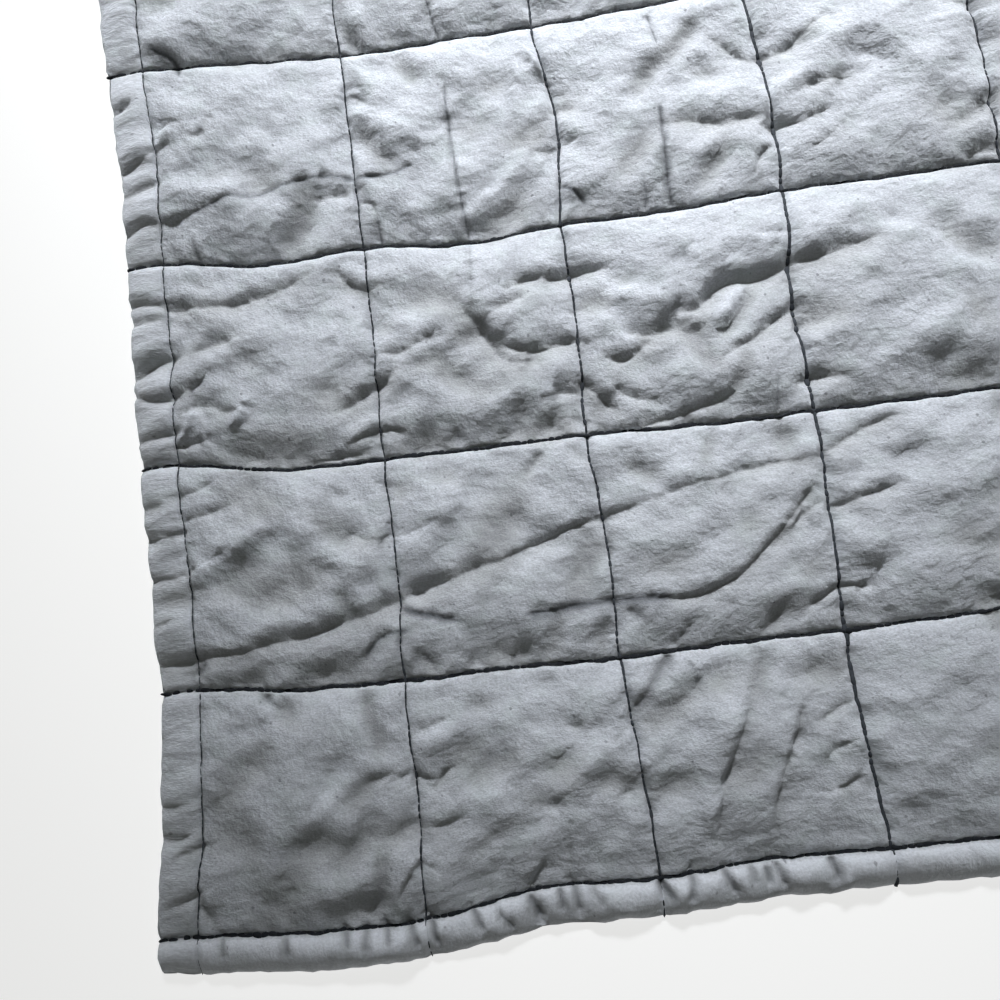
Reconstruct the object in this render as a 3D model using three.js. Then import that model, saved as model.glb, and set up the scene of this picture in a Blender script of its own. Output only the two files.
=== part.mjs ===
import * as THREE from "three";

// A quilt of plain padded squares, lying flat. Millimetres, +Z up. The origin is the middle of its
// underside, +X runs to the right and +Y away from the near edge.

// Squares between the sewn lines, and the plain turned margin outside the outermost lines
const SQUARES_ACROSS = 6;
const SQUARES_DEEP = 8;
const SQUARE = 100;
const MARGIN = 18;

// Thickness at the sewn lines, at the crown of a square, along the margin and at its outer edge
const SEWN_THICKNESS = 3;
const CROWN_THICKNESS = 11;
const MARGIN_THICKNESS = 8;
const EDGE_THICKNESS = 3.5;

// The outer edge curls under by this much where it meets the surface that it lies on
const EDGE_UNDERCUT = 2;

// The outline bulges between the sewn lines and is drawn in where they run out over it
const OUTLINE_BULGE = 2;

// 0 leaves the corners square, 1 makes them full quarter rounds
const CORNER_ROUNDNESS = 0.5;

// The padding rises from a sewn line as a sine to this power, so that lower is steeper
const RISE_POWER = 0.5;

// The squares are not all filled alike: the share by which their crowns differ, and its pace
const CROWN_CHANGE = 0.07;
const CROWN_PACE_ACROSS = 2.1;
const CROWN_PACE_DEEP = 1.3;

// A fold keeps its full depth along its middle and fades out at its ends with this power
const FOLD_FADE_POWER = 4;

// Where the surface is divided, as shares of a square and of the margin from its outer edge
const SQUARE_CUTS = [0, 0.05, 0.17, 0.33, 0.5, 0.67, 0.83, 0.95];
const MARGIN_CUTS = [0, 0.2, 0.5, 0.82];

// How far the lines sewn across stray away from the near edge at each crossing, near line first
const ACROSS_STRAY = [
  [-3, -6, 1, 3, 2, -2, -4],
  [3, -3, -4, -3, 0, 3, 2],
  [7, -2, -2, -4, -3, 1, 4],
  [5, 0, -1, 2, 3, 0, -3],
  [5, -1, 1, 6, 4, -1, -3],
  [2, -3, 0, 4, 5, 2, -1],
  [-2, -4, -1, 2, 3, 4, 1],
  [-3, -1, 2, 1, -2, 1, 3],
  [1, 3, 2, -2, -4, -1, 3],
];

// How far the lines sewn away from the near edge stray to the right, left line first
const DEEP_STRAY = [
  [-2, 7, 5, 5, 2, 0, -2, -3, 0],
  [-1, 0, 1, 2, 0, -2, -1, 1, 2],
  [2, -3, -5, -4, -6, -3, 0, 2, 1],
  [2, -3, -1, 1, -4, -3, 1, 3, 0],
  [1, -2, 2, 3, 0, -3, -2, 2, 3],
  [-1, 2, 4, 1, -2, -1, 2, 3, 0],
  [3, 5, 2, -1, 1, 3, 0, -3, -1],
];

// Main folds of the face, measured from the near left crossing of the sewn lines. A fold is a soft
// trough that runs from one end to the other and bows to its left by bow.
const FOLDS = [
  { name: "long_left", from: [-10, 115], to: [102, 133], bow: -1, depth: 4, halfWidth: 9 },
  { name: "long_middle", from: [98, 132], to: [198, 157], bow: -3, depth: 4, halfWidth: 9 },
  { name: "long_right", from: [196, 156], to: [298, 174], bow: 3, depth: 4, halfWidth: 9 },
  { name: "long_end", from: [294, 173], to: [362, 196], bow: 1, depth: 3, halfWidth: 8 },
  { name: "second_near", from: [150, 120], to: [251, 125], bow: -2, depth: 3, halfWidth: 8 },
  { name: "second_rise", from: [245, 123], to: [293, 163], bow: -4, depth: 4, halfWidth: 8 },
  { name: "thin_far_left", from: [-9, 324], to: [130, 333], bow: 4, depth: 2, halfWidth: 6 },
  { name: "wavy_right", from: [340, 280], to: [268, 263], bow: -2, depth: 4, halfWidth: 8 },
  { name: "wavy_left", from: [271, 264], to: [214, 230], bow: -5, depth: 4, halfWidth: 8 },
  { name: "dip_near_left", from: [22, 152], to: [76, 154], bow: 7, depth: 3, halfWidth: 10 },
  { name: "upright_near", from: [258, 86], to: [228, 16], bow: 4, depth: 3, halfWidth: 8 },
  { name: "upright_near_right", from: [270, 68], to: [254, 16], bow: 1, depth: 2, halfWidth: 7 },
  { name: "slant_near", from: [32, 8], to: [68, 43], bow: 2, depth: 3, halfWidth: 9 },
  { name: "slant_far", from: [160, 240], to: [216, 272], bow: 6, depth: 3, halfWidth: 9 },
  { name: "rest_near_right", from: [396, 60], to: [520, 130], bow: 8, depth: 3, halfWidth: 9 },
  { name: "rest_right", from: [420, 300], to: [585, 350], bow: -8, depth: 4, halfWidth: 9 },
  { name: "rest_far_left", from: [30, 560], to: [190, 520], bow: 9, depth: 3, halfWidth: 9 },
  { name: "rest_far", from: [260, 640], to: [420, 700], bow: -7, depth: 4, halfWidth: 9 },
  { name: "rest_far_right", from: [450, 560], to: [560, 480], bow: -6, depth: 3, halfWidth: 9 },
];

const CLOTH = { color: 0xb2b6bd, roughness: 0.95, metalness: 0 };

const { clamp, lerp } = THREE.MathUtils;

// All places where the surface is divided along one side, in millimetres from the first sewn line.
function cutsAlong(squares) {
  const length = squares * SQUARE;
  const margin = MARGIN_CUTS.map((share) => -MARGIN * (1 - share));
  const middle = [];
  for (let square = 0; square < squares; square += 1) {
    middle.push(...SQUARE_CUTS.map((share) => (square + share) * SQUARE));
  }
  const farMargin = margin.map((place) => length - place).reverse();
  return [...margin, ...middle, length, ...farMargin];
}

// A smooth curve through the strays of one sewn line, at a place along it counted in squares.
function strayAlong(strays, squaresAlong) {
  const last = strays.length - 1;
  const place = clamp(squaresAlong, 0, last);
  const start = Math.min(Math.floor(place), last - 1);
  const at = (index) => strays[clamp(index, 0, last)];
  const share = place - start;
  const slopeIn = (at(start + 1) - at(start - 1)) / 2;
  const slopeOut = (at(start + 2) - at(start)) / 2;
  const rise = at(start + 1) - at(start);
  const square = share * share;
  const cube = square * share;
  const curve = at(start) + slopeIn * share + (3 * rise - 2 * slopeIn - slopeOut) * square;
  return curve + (slopeIn + slopeOut - 2 * rise) * cube;
}

// The stray of any point of the cloth, blended between the two sewn lines beside it.
function strayOf(lines, across, along) {
  const last = lines.length - 1;
  const place = clamp(across / SQUARE, 0, last);
  const start = Math.min(Math.floor(place), last - 1);
  const before = strayAlong(lines[start], along / SQUARE);
  const after = strayAlong(lines[start + 1], along / SQUARE);
  return lerp(before, after, place - start);
}

// What one direction says about a point: the side of the quilt whose margin it lies in, its share
// of the way out over that margin, and how far the padding has risen from the line beside it.
function zoneOf(place, squares) {
  const length = squares * SQUARE;
  const outside = Math.max(-place, place - length, 0) / MARGIN;
  const inSquare = clamp(place, 0, length) / SQUARE;
  const share = outside > 0 ? outside : inSquare - Math.floor(inSquare);
  const rise = Math.pow(Math.max(Math.sin(Math.PI * share), 0), RISE_POWER);
  return { side: place < 0 ? -1 : 1, outside, rise, inMargin: outside > 0 };
}

// How much of a fold's depth reaches a point of the face.
function foldShare(fold, x, y) {
  const [x0, y0] = fold.from;
  const alongX = fold.to[0] - x0;
  const alongY = fold.to[1] - y0;
  const length = Math.hypot(alongX, alongY);
  const share = ((x - x0) * alongX + (y - y0) * alongY) / (length * length);
  if (share <= 0 || share >= 1) {
    return 0;
  }
  const toLeft = ((y - y0) * alongX - (x - x0) * alongY) / length;
  const offset = (toLeft - 4 * fold.bow * share * (1 - share)) / fold.halfWidth;
  const fade = 1 - Math.pow(Math.abs(2 * share - 1), FOLD_FADE_POWER);
  return fade * Math.exp(-offset * offset);
}

// The crown of one square against the others.
function crownShare(across, deep) {
  const column = Math.floor(across / SQUARE);
  const row = Math.floor(deep / SQUARE);
  return 1 + CROWN_CHANGE * Math.sin(CROWN_PACE_ACROSS * column + CROWN_PACE_DEEP * row);
}

// The height of the face at a point of the flat cloth that lies at x, y.
function heightOf(across, deep, x, y) {
  const zoneX = zoneOf(across, SQUARES_ACROSS);
  const zoneY = zoneOf(deep, SQUARES_DEEP);
  const outside = Math.max(zoneX.outside, zoneY.outside);
  const inMargin = zoneX.inMargin || zoneY.inMargin;
  const crown = inMargin ? MARGIN_THICKNESS : CROWN_THICKNESS * crownShare(across, deep);
  const base = lerp(SEWN_THICKNESS, EDGE_THICKNESS, outside);
  const padding = zoneX.rise * zoneY.rise;
  const fold = FOLDS.reduce((sum, row) => sum + row.depth * foldShare(row, x, y), 0);
  return base + Math.max((crown - base - fold) * padding, 0);
}

// How far the outline bulges beside a place along it.
function bulgeAt(place, squares) {
  return OUTLINE_BULGE * Math.abs(Math.sin((Math.PI * clamp(place, 0, squares * SQUARE)) / SQUARE));
}

// Where a point of the flat cloth lies, with the corners rounded and the outline bulged.
function placeOf(across, deep) {
  const zoneX = zoneOf(across, SQUARES_ACROSS);
  const zoneY = zoneOf(deep, SQUARES_DEEP);
  const roundX = 1 - Math.sqrt(1 - (CORNER_ROUNDNESS * zoneY.outside ** 2) / 2);
  const roundY = 1 - Math.sqrt(1 - (CORNER_ROUNDNESS * zoneX.outside ** 2) / 2);
  const outX = bulgeAt(deep, SQUARES_DEEP) - MARGIN * roundX;
  const outY = bulgeAt(across, SQUARES_ACROSS) - MARGIN * roundY;
  const x = across + zoneX.side * zoneX.outside * outX + strayOf(DEEP_STRAY, across, deep);
  const y = deep + zoneY.side * zoneY.outside * outY + strayOf(ACROSS_STRAY, deep, across);
  return [x, y];
}

// The numbers of the outermost points of the face, once round it, against the clock.
function outlineOf(columns, rows) {
  const outline = [];
  for (let column = 0; column < columns - 1; column += 1) {
    outline.push(column);
  }
  for (let row = 0; row < rows - 1; row += 1) {
    outline.push(row * columns + columns - 1);
  }
  for (let column = columns - 1; column > 0; column -= 1) {
    outline.push((rows - 1) * columns + column);
  }
  for (let row = rows - 1; row > 0; row -= 1) {
    outline.push(row * columns);
  }
  return outline;
}

// The points of the face, row by row from the near edge.
function facePoints(cutsAcross, cutsDeep) {
  const points = [];
  for (const deep of cutsDeep) {
    for (const across of cutsAcross) {
      const [x, y] = placeOf(across, deep);
      points.push(new THREE.Vector3(x, y, heightOf(across, deep, x, y)));
    }
  }
  return points;
}

// The triangles of the face, two for each small panel between the cuts.
function faceTriangles(columns, rows) {
  const triangles = [];
  for (let row = 0; row < rows - 1; row += 1) {
    for (let column = 0; column < columns - 1; column += 1) {
      const corner = row * columns + column;
      const above = corner + columns;
      triangles.push(corner, corner + 1, above + 1, corner, above + 1, above);
    }
  }
  return triangles;
}

// The outline again at the surface below, drawn in by the undercut.
function footPoints(outline, points, columns, rows) {
  return outline.map((index) => {
    const column = index % columns;
    const row = Math.floor(index / columns);
    const inX = (column === 0 ? 1 : 0) - (column === columns - 1 ? 1 : 0);
    const inY = (row === 0 ? 1 : 0) - (row === rows - 1 ? 1 : 0);
    const { x, y } = points[index];
    return new THREE.Vector3(x + inX * EDGE_UNDERCUT, y + inY * EDGE_UNDERCUT, 0);
  });
}

// The whole padded quilt as one closed body with a flat underside.
function quiltGeometry() {
  const cutsAcross = cutsAlong(SQUARES_ACROSS);
  const cutsDeep = cutsAlong(SQUARES_DEEP);
  const columns = cutsAcross.length;
  const rows = cutsDeep.length;
  const points = facePoints(cutsAcross, cutsDeep);
  const triangles = faceTriangles(columns, rows);
  const outline = outlineOf(columns, rows);
  const foot = footPoints(outline, points, columns, rows);
  const firstFoot = points.length;
  outline.forEach((top, place) => {
    const next = (place + 1) % outline.length;
    const low = firstFoot + place;
    const nextLow = firstFoot + next;
    triangles.push(low, nextLow, outline[next], low, outline[next], top);
  });
  const contour = foot.map((point) => new THREE.Vector2(point.x, point.y));
  for (const [a, b, c] of THREE.ShapeUtils.triangulateShape(contour, [])) {
    triangles.push(firstFoot + a, firstFoot + c, firstFoot + b);
  }
  const geometry = new THREE.BufferGeometry().setFromPoints([...points, ...foot]);
  geometry.setIndex(triangles);
  geometry.computeBoundingBox();
  const middle = geometry.boundingBox.getCenter(new THREE.Vector3());
  geometry.translate(-middle.x, -middle.y, 0);
  geometry.computeVertexNormals();
  return geometry;
}

const part = new THREE.Group();
const quilt = new THREE.Mesh(quiltGeometry(), new THREE.MeshStandardMaterial(CLOTH));
quilt.name = "quilt";
part.add(quilt);

export default part;
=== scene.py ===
"""A plain padded quilt, sewn into squares, lying flat and softly creased on a pale floor.

The cloth is laid out flat first, in millimetres from the crossing of the near and the left sewn line:
across runs along the near edge and deep runs away from it. QuiltPattern says where a point of that
flat cloth lies on the finished quilt. A cloth simulation fills the face, and its result is carried
onto a finer mesh, which is creased, puckered along its seams and sewn. Objects are in metres, in the
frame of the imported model.
"""

import logging
import math
from dataclasses import dataclass, field
from enum import Enum
from typing import ClassVar

import bmesh
import bpy
import numpy as np
from mathutils import Matrix, Vector


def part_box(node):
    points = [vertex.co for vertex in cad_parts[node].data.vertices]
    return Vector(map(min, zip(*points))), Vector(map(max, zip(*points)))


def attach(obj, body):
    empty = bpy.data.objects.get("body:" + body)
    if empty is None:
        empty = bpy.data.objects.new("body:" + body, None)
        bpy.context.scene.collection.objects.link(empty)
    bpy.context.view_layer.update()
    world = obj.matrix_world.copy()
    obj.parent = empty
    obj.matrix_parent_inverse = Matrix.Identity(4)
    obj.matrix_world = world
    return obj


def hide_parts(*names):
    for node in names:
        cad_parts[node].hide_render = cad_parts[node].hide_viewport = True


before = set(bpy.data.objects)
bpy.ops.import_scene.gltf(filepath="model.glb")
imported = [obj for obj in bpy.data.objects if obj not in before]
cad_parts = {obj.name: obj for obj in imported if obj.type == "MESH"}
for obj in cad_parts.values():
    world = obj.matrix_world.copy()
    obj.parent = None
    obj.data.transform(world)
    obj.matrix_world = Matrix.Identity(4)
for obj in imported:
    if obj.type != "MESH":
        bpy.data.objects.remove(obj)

logging.basicConfig(level=logging.INFO, format="%(asctime)s %(message)s")
LOG = logging.getLogger("quilt")

MM = 0.001
TINY = 1e-9

Array = np.ndarray
Pair = tuple[float, float]
Triple = tuple[float, float, float]
Colour = tuple[float, float, float, float]
Socket = bpy.types.NodeSocket
Source = Socket | float | Colour

# How far the lines sewn across stray from the near edge, at each crossing and midway, near line first
ACROSS_STRAY = (
    (-3, -6, -6, 2, 1, 4, 3, 3, 2, 0, -2, -3, -4),
    (3, -2, -3, -3, -4, -3, -3, -2, 0, 2, 3, 3, 2),
    (7, -1, -2, -2, -2, -4, -4, -4, -3, -1, 1, 3, 4),
    (5, -2, 0, -4, -1, -1, 2, 2, 3, 2, 0, -2, -3),
    (5, 2, -1, -1, 1, 3, 6, 6, 4, 1, -1, -3, -3),
    (2, -1, -3, -2, 0, 2, 4, 5, 5, 3, 2, 0, -1),
    (-2, -4, -4, -3, -1, 1, 2, 3, 3, 4, 4, 3, 1),
    (-3, -2, -1, 1, 2, 2, 1, 0, -2, -1, 1, 2, 3),
    (1, 2, 3, 3, 2, 0, -2, -4, -4, -3, -1, 1, 3),
)

# How far the lines sewn away from the near edge stray to the right, left line first
DEEP_STRAY = (
    (-2, 5, 7, 7, 5, 6, 5, 6, 2, 1, 0, -1, -2, -3, -3, -2, 0),
    (-1, 1, 0, 2, 1, 2, 2, 1, 0, -1, -2, -2, -1, 0, 1, 2, 2),
    (2, 0, -3, -2, -5, -3, -4, 0, -6, -4, -3, -1, 0, 1, 2, 2, 1),
    (2, -2, -3, -2, -1, -3, 1, 1, -4, -4, -3, -1, 1, 2, 3, 2, 0),
    (1, -1, -2, 0, 2, 3, 3, 2, 0, -2, -3, -3, -2, 0, 2, 3, 3),
    (-1, 1, 2, 4, 4, 3, 1, -1, -2, -2, -1, 1, 2, 3, 3, 1, 0),
    (3, 5, 5, 4, 2, 0, -1, 0, 1, 3, 3, 2, 0, -2, -3, -2, -1),
)

# How thick the thread shows on each line sewn away from the near edge, as a share, left line first
SIDE_THREAD = (0.8, 1.2, 1.8, 3.0, 1.9, 1.3, 1.0)

# How deep each line sewn away from the near edge draws the face in, in millimetres, left line first
SIDE_PULL = (0.5, 0.8, 1.1, 1.4, 1.2, 1.0, 0.7)


class Fold(Enum):
    """The kinds of crease in the face."""

    ROLLED = "rolled"
    SOFT = "soft"


class Side(Enum):
    """The side of the quilt that a thread shows on."""

    FACE = "face"
    BACK = "back"


def smooth_through(values: Array, place: Array) -> Array:
    """A smooth curve through evenly spaced values.

    Args:
        values: the values, one for each whole number of place.
        place: where the curve is read, held inside the values' range.

    Returns:
        The curve's value at each place.
    """
    last = len(values) - 1
    place = np.clip(place, 0, last)
    start = np.minimum(place.astype(int), last - 1)
    share = place - start
    here = values[start]
    there = values[start + 1]
    slope_in = (there - values[np.maximum(start - 1, 0)]) / 2
    slope_out = (values[np.minimum(start + 2, last)] - here) / 2
    rise = there - here
    bend = 3 * rise - 2 * slope_in - slope_out
    return here + share * (slope_in + share * (bend + share * (slope_in + slope_out - 2 * rise)))


def rolled(share: Array) -> Array:
    """How far a rounded edge has risen, as a quarter circle, at each share of its width."""
    return np.sqrt(np.maximum(1 - (1 - np.clip(share, 0, 1)) ** 2, 0))


def eased(share: Array) -> Array:
    """How far a soft edge has risen, steeper at its foot, at each share of its width."""
    return 1 - (1 - np.clip(share, 0, 1)) ** 2


def bell(away: Array, width: Array | float) -> Array:
    """A soft bell that is 1 where away is 0 and has nearly gone at twice its width."""
    return np.exp(-((away / width) ** 2))


@dataclass(frozen=True)
class Lumps:
    """Smooth random lumps over the flat cloth.

    Their height is in millimetres, mostly within height above and below. The pitch is the distance
    from lump to lump along the near edge and away from it, and lean slants each of the two.
    """

    height: float
    pitch: Pair
    seed: int
    lean: Pair = (0.0, 0.0)
    cells: ClassVar[int] = 256
    gain: ClassVar[float] = 1.6

    def at(self, across: Array, deep: Array) -> Array:
        """The lumps' height at points of the flat cloth.

        Args:
            across: the points' places along the near edge, in millimetres.
            deep: their places away from it.

        Returns:
            The height at each point, in millimetres.
        """
        turns = np.random.default_rng(self.seed).uniform(0, 2 * math.pi, (self.cells, self.cells))
        x = (across + self.lean[0] * deep) / self.pitch[0] + self.cells
        y = (deep + self.lean[1] * across) / self.pitch[1] + self.cells
        left = np.floor(x).astype(int)
        low = np.floor(y).astype(int)
        from_x = x - left
        from_y = y - low
        ease_x = from_x**3 * (from_x * (6 * from_x - 15) + 10)
        ease_y = from_y**3 * (from_y * (6 * from_y - 15) + 10)
        total = np.zeros(across.shape)
        for step_x in (0, 1):
            for step_y in (0, 1):
                turn = turns[(left + step_x) % self.cells, (low + step_y) % self.cells]
                slope = np.cos(turn) * (from_x - step_x) + np.sin(turn) * (from_y - step_y)
                weight_x = ease_x if step_x else 1 - ease_x
                weight_y = ease_y if step_y else 1 - ease_y
                total += slope * weight_x * weight_y
        return self.height * (self.gain * total)


def lumpy(layers: tuple[Lumps, ...], across: Array, deep: Array) -> Array:
    """The height of several layers of lumps together, at points of the flat cloth."""
    return sum(lumps.at(across, deep) for lumps in layers)


@dataclass(frozen=True)
class Facets:
    """Crumpled cloth as small, softly joined facets that each lean their own way.

    A facet is size millimetres wide and stretch times as long, on a line turned by turn degrees. It
    leans by up to lean, and softness rounds the folds between the facets.
    """

    size: float
    stretch: float
    turn: float
    lean: float
    softness: float
    seed: int
    cells: ClassVar[int] = 128
    middles: ClassVar[Pair] = (0.1, 0.9)
    most_lift: ClassVar[float] = 0.5
    bend: ClassVar[float] = 0.5
    bend_pitch: ClassVar[Pair] = (30.0, 30.0)

    def height_at(self, across: Array, deep: Array) -> Array:
        """How far the crumple lifts points of the flat cloth.

        Args:
            across: the points' places along the near edge, in millimetres.
            deep: their places away from it.

        Returns:
            The lift at each point, in millimetres.
        """
        shape = (self.cells, self.cells)
        random = np.random.default_rng(self.seed)
        centre_x, centre_y = random.uniform(*self.middles, (2, *shape))
        lean_x, lean_y = random.uniform(-self.lean, self.lean, (2, *shape))
        lift = random.uniform(-self.most_lift, self.most_lift, shape) * self.lean * self.size
        turn = math.radians(self.turn)
        along = (across * math.cos(turn) + deep * math.sin(turn)) / self.stretch
        over = deep * math.cos(turn) - across * math.sin(turn)
        bent = over + Lumps(self.bend * self.size, self.bend_pitch, self.seed).at(across, deep)
        x = along / self.size + self.cells
        y = bent / self.size + self.cells
        column = np.floor(x).astype(int)
        row = np.floor(y).astype(int)
        total = np.zeros(across.shape)
        weights = np.full(across.shape, TINY)
        for step_x in (-1, 0, 1):
            for step_y in (-1, 0, 1):
                cell = (column + step_x) % self.cells, (row + step_y) % self.cells
                from_x = x - column - step_x - centre_x[cell]
                from_y = y - row - step_y - centre_y[cell]
                weight = np.exp(-(from_x**2 + from_y**2) / self.softness)
                plane = lift[cell] + (lean_x[cell] * from_x + lean_y[cell] * from_y) * self.size
                total += weight * plane
                weights += weight
        return total / weights


# How the face crumples between its creases, in three sizes of facet
FACETS = (
    Facets(size=25, stretch=1.8, turn=60, lean=0.11, softness=0.07, seed=81),
    Facets(size=13, stretch=2.0, turn=42, lean=0.14, softness=0.10, seed=51),
    Facets(size=6, stretch=1.6, turn=-30, lean=0.11, softness=0.12, seed=61),
)


@dataclass(frozen=True)
class QuiltPattern:
    """Sizes of the sewn quilt in millimetres, and where each point of its flat cloth lies.

    Unless a method says otherwise, across and deep are places along the near edge and away from it.
    """

    squares_across: int = 6
    squares_deep: int = 8
    square: float = 100.0
    margin: float = 18.0
    roll_turn: float = 1.35
    sewn_height: float = 3.0
    crown_height: float = 7.4
    crown_rise: float = 0.2
    margin_height: float = 8.3
    near_flank: float = 24.0
    far_flank: float = 22.0
    side_flank: float = 9.0
    side_fullness: float = 0.55
    margin_power: float = 1.2
    margin_lean: float = 0.85
    margin_slope: float = 0.4
    outline_bulge: float = 1.0
    near_margin: float = 0.86
    corner_roundness: float = 0.5
    side_outline: tuple[Lumps, ...] = (Lumps(0.8, (30, 9), 41), Lumps(0.45, (30, 4), 42))
    end_outline: tuple[Lumps, ...] = (Lumps(0.8, (9, 30), 43), Lumps(0.45, (4, 30), 44))
    flank_lumps: tuple[Lumps, ...] = (Lumps(0.45, (13, 60), 45), Lumps(0.25, (6, 60), 46))
    side_lumps: Lumps = Lumps(0.4, (60, 14), 47)
    deep_waver: Lumps = Lumps(0.6, (160, 13), 48)
    across_waver: Lumps = Lumps(0.5, (12, 160), 49)
    across_stray: Array = field(default_factory=lambda: np.array(ACROSS_STRAY, float))
    deep_stray: Array = field(default_factory=lambda: np.array(DEEP_STRAY, float))

    @property
    def width(self) -> float:
        """The distance between the left and the right sewn line."""
        return self.squares_across * self.square

    @property
    def depth(self) -> float:
        """The distance between the near and the far sewn line."""
        return self.squares_deep * self.square

    def stray(self, lines: Array, across: Array, along: Array) -> Array:
        """The stray of each point, blended between the two sewn lines beside it.

        Args:
            lines: strays of all the lines that run one way.
            across: the point's place over those lines.
            along: the point's place along them.

        Returns:
            How far each point strays, in millimetres.
        """
        last = len(lines) - 1
        place = np.clip(across / self.square, 0, last)
        start = np.minimum(place.astype(int), last - 1)
        strays = np.stack([smooth_through(line, 2 * along / self.square) for line in lines])
        points = np.arange(len(along))
        share = place - start
        return strays[start, points] * (1 - share) + strays[start + 1, points] * share

    def over_margin(self, place: Array, length: float) -> Array:
        """The share of the way over the turned margin at each place, below 0 on its near side."""
        return (np.minimum(place, 0) + np.maximum(place - length, 0)) / self.margin

    def seam_distance(self, place: Array, length: float) -> Array:
        """How far each place lies from the nearest sewn line, in millimetres."""
        nearest = np.clip(np.rint(place / self.square), 0, length / self.square) * self.square
        return np.abs(place - nearest)

    def beyond_seam(self, deep: Array) -> Array:
        """Whether each place lies on the far side of the nearest line sewn across."""
        return np.mod(deep, self.square) < self.square / 2

    def reach(self, over: Array) -> Array:
        """How far out from the sewn line the margin's roll has reached, as a share of its width."""
        return np.sign(over) * (1 - np.cos(math.pi * self.roll_turn * over)) / 2

    def turned_under(self, over: Array) -> Array:
        """The share of its height that the roll keeps as it turns under its outer edge."""
        under = (np.abs(over) * self.roll_turn - 1) / (self.roll_turn - 1)
        return np.cos(np.clip(under, 0, 1) * math.pi / 2)

    def margin_rise(self, over: Array) -> Array:
        """How far the margin's roll has risen, from 0 at its seam to 1 on its top."""
        share = np.minimum(np.abs(over) * self.roll_turn, 1) ** self.margin_lean
        return np.maximum(np.sin(math.pi * share), 0) ** self.margin_power

    def upper(self, across: Array, deep: Array) -> Array:
        """1 on the face, falling to 0 where the margin has turned under."""
        side = self.turned_under(self.over_margin(across, self.width))
        return side * self.turned_under(self.over_margin(deep, self.depth))

    def place(self, across: Array, deep: Array) -> tuple[Array, Array]:
        """Where points of the flat cloth lie, seen from above.

        Args:
            across: places along the near edge.
            deep: places away from the near edge.

        Returns:
            The x and y of each point, in millimetres from the near left crossing.
        """
        reach_x = self.reach(self.over_margin(across, self.width))
        reach_y = self.reach(self.over_margin(deep, self.depth))
        in_x = np.clip(across, 0, self.width)
        in_y = np.clip(deep, 0, self.depth)
        out_x = self.margin * np.sqrt(1 - self.corner_roundness * reach_y**2 / 2)
        out_y = self.margin * np.sqrt(1 - self.corner_roundness * reach_x**2 / 2)
        out_x = out_x + self.outline_bulge * np.abs(np.sin(math.pi * in_y / self.square))
        out_y = out_y + self.outline_bulge * np.abs(np.sin(math.pi * in_x / self.square))
        out_x = out_x + lumpy(self.side_outline, across, deep)
        out_y = out_y + lumpy(self.end_outline, across, deep)
        out_y = out_y * np.where(deep < 0, self.near_margin, 1)
        x = in_x + reach_x * out_x + self.stray(self.deep_stray, across, deep)
        y = in_y + reach_y * out_y + self.stray(self.across_stray, deep, across)
        return x + self.deep_waver.at(across, deep), y + self.across_waver.at(across, deep)

    def fullness(self, across: Array, deep: Array) -> Array:
        """How full the padding is at points of the flat cloth.

        Args:
            across: places along the near edge.
            deep: places away from it.

        Returns:
            The fullness of each point, from 0 on a line sewn across to 1 on a crown.
        """
        over_x = self.over_margin(across, self.width)
        over_y = self.over_margin(deep, self.depth)
        from_near = np.mod(deep, self.square)
        from_left = np.mod(across, self.square)
        flank_change = 1 + lumpy(self.flank_lumps, across, deep)
        side_flank = self.side_flank * (1 + self.side_lumps.at(across, deep))
        near = eased(from_near / (self.near_flank * flank_change))
        far = rolled((self.square - from_near) / (self.far_flank * flank_change))
        sides = eased(from_left / side_flank) * eased((self.square - from_left) / side_flank)
        crown = 1 - self.crown_rise + self.crown_rise * np.sin(math.pi * from_near / self.square)
        deep_rise = np.where(over_y != 0, self.margin_rise(over_y), near * far * crown)
        side_rise = np.where(over_x != 0, self.margin_rise(over_x), sides)
        side_rise = self.side_fullness + (1 - self.side_fullness) * side_rise
        return deep_rise * side_rise

    def height(self, across: Array, deep: Array) -> Array:
        """The height of the face before the filling swells it.

        Args:
            across: places along the near edge.
            deep: places away from it.

        Returns:
            The height of each point, in millimetres.
        """
        over_x = self.over_margin(across, self.width)
        over_y = self.over_margin(deep, self.depth)
        top = np.where((over_x != 0) | (over_y != 0), self.margin_height, self.crown_height)
        raised = self.sewn_height + (top - self.sewn_height) * self.fullness(across, deep)
        slope = 1 - self.margin_slope * np.minimum(self.reach(over_x) ** 2 + self.reach(over_y) ** 2, 1)
        return raised * slope * self.upper(across, deep)


PATTERN = QuiltPattern()


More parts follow.
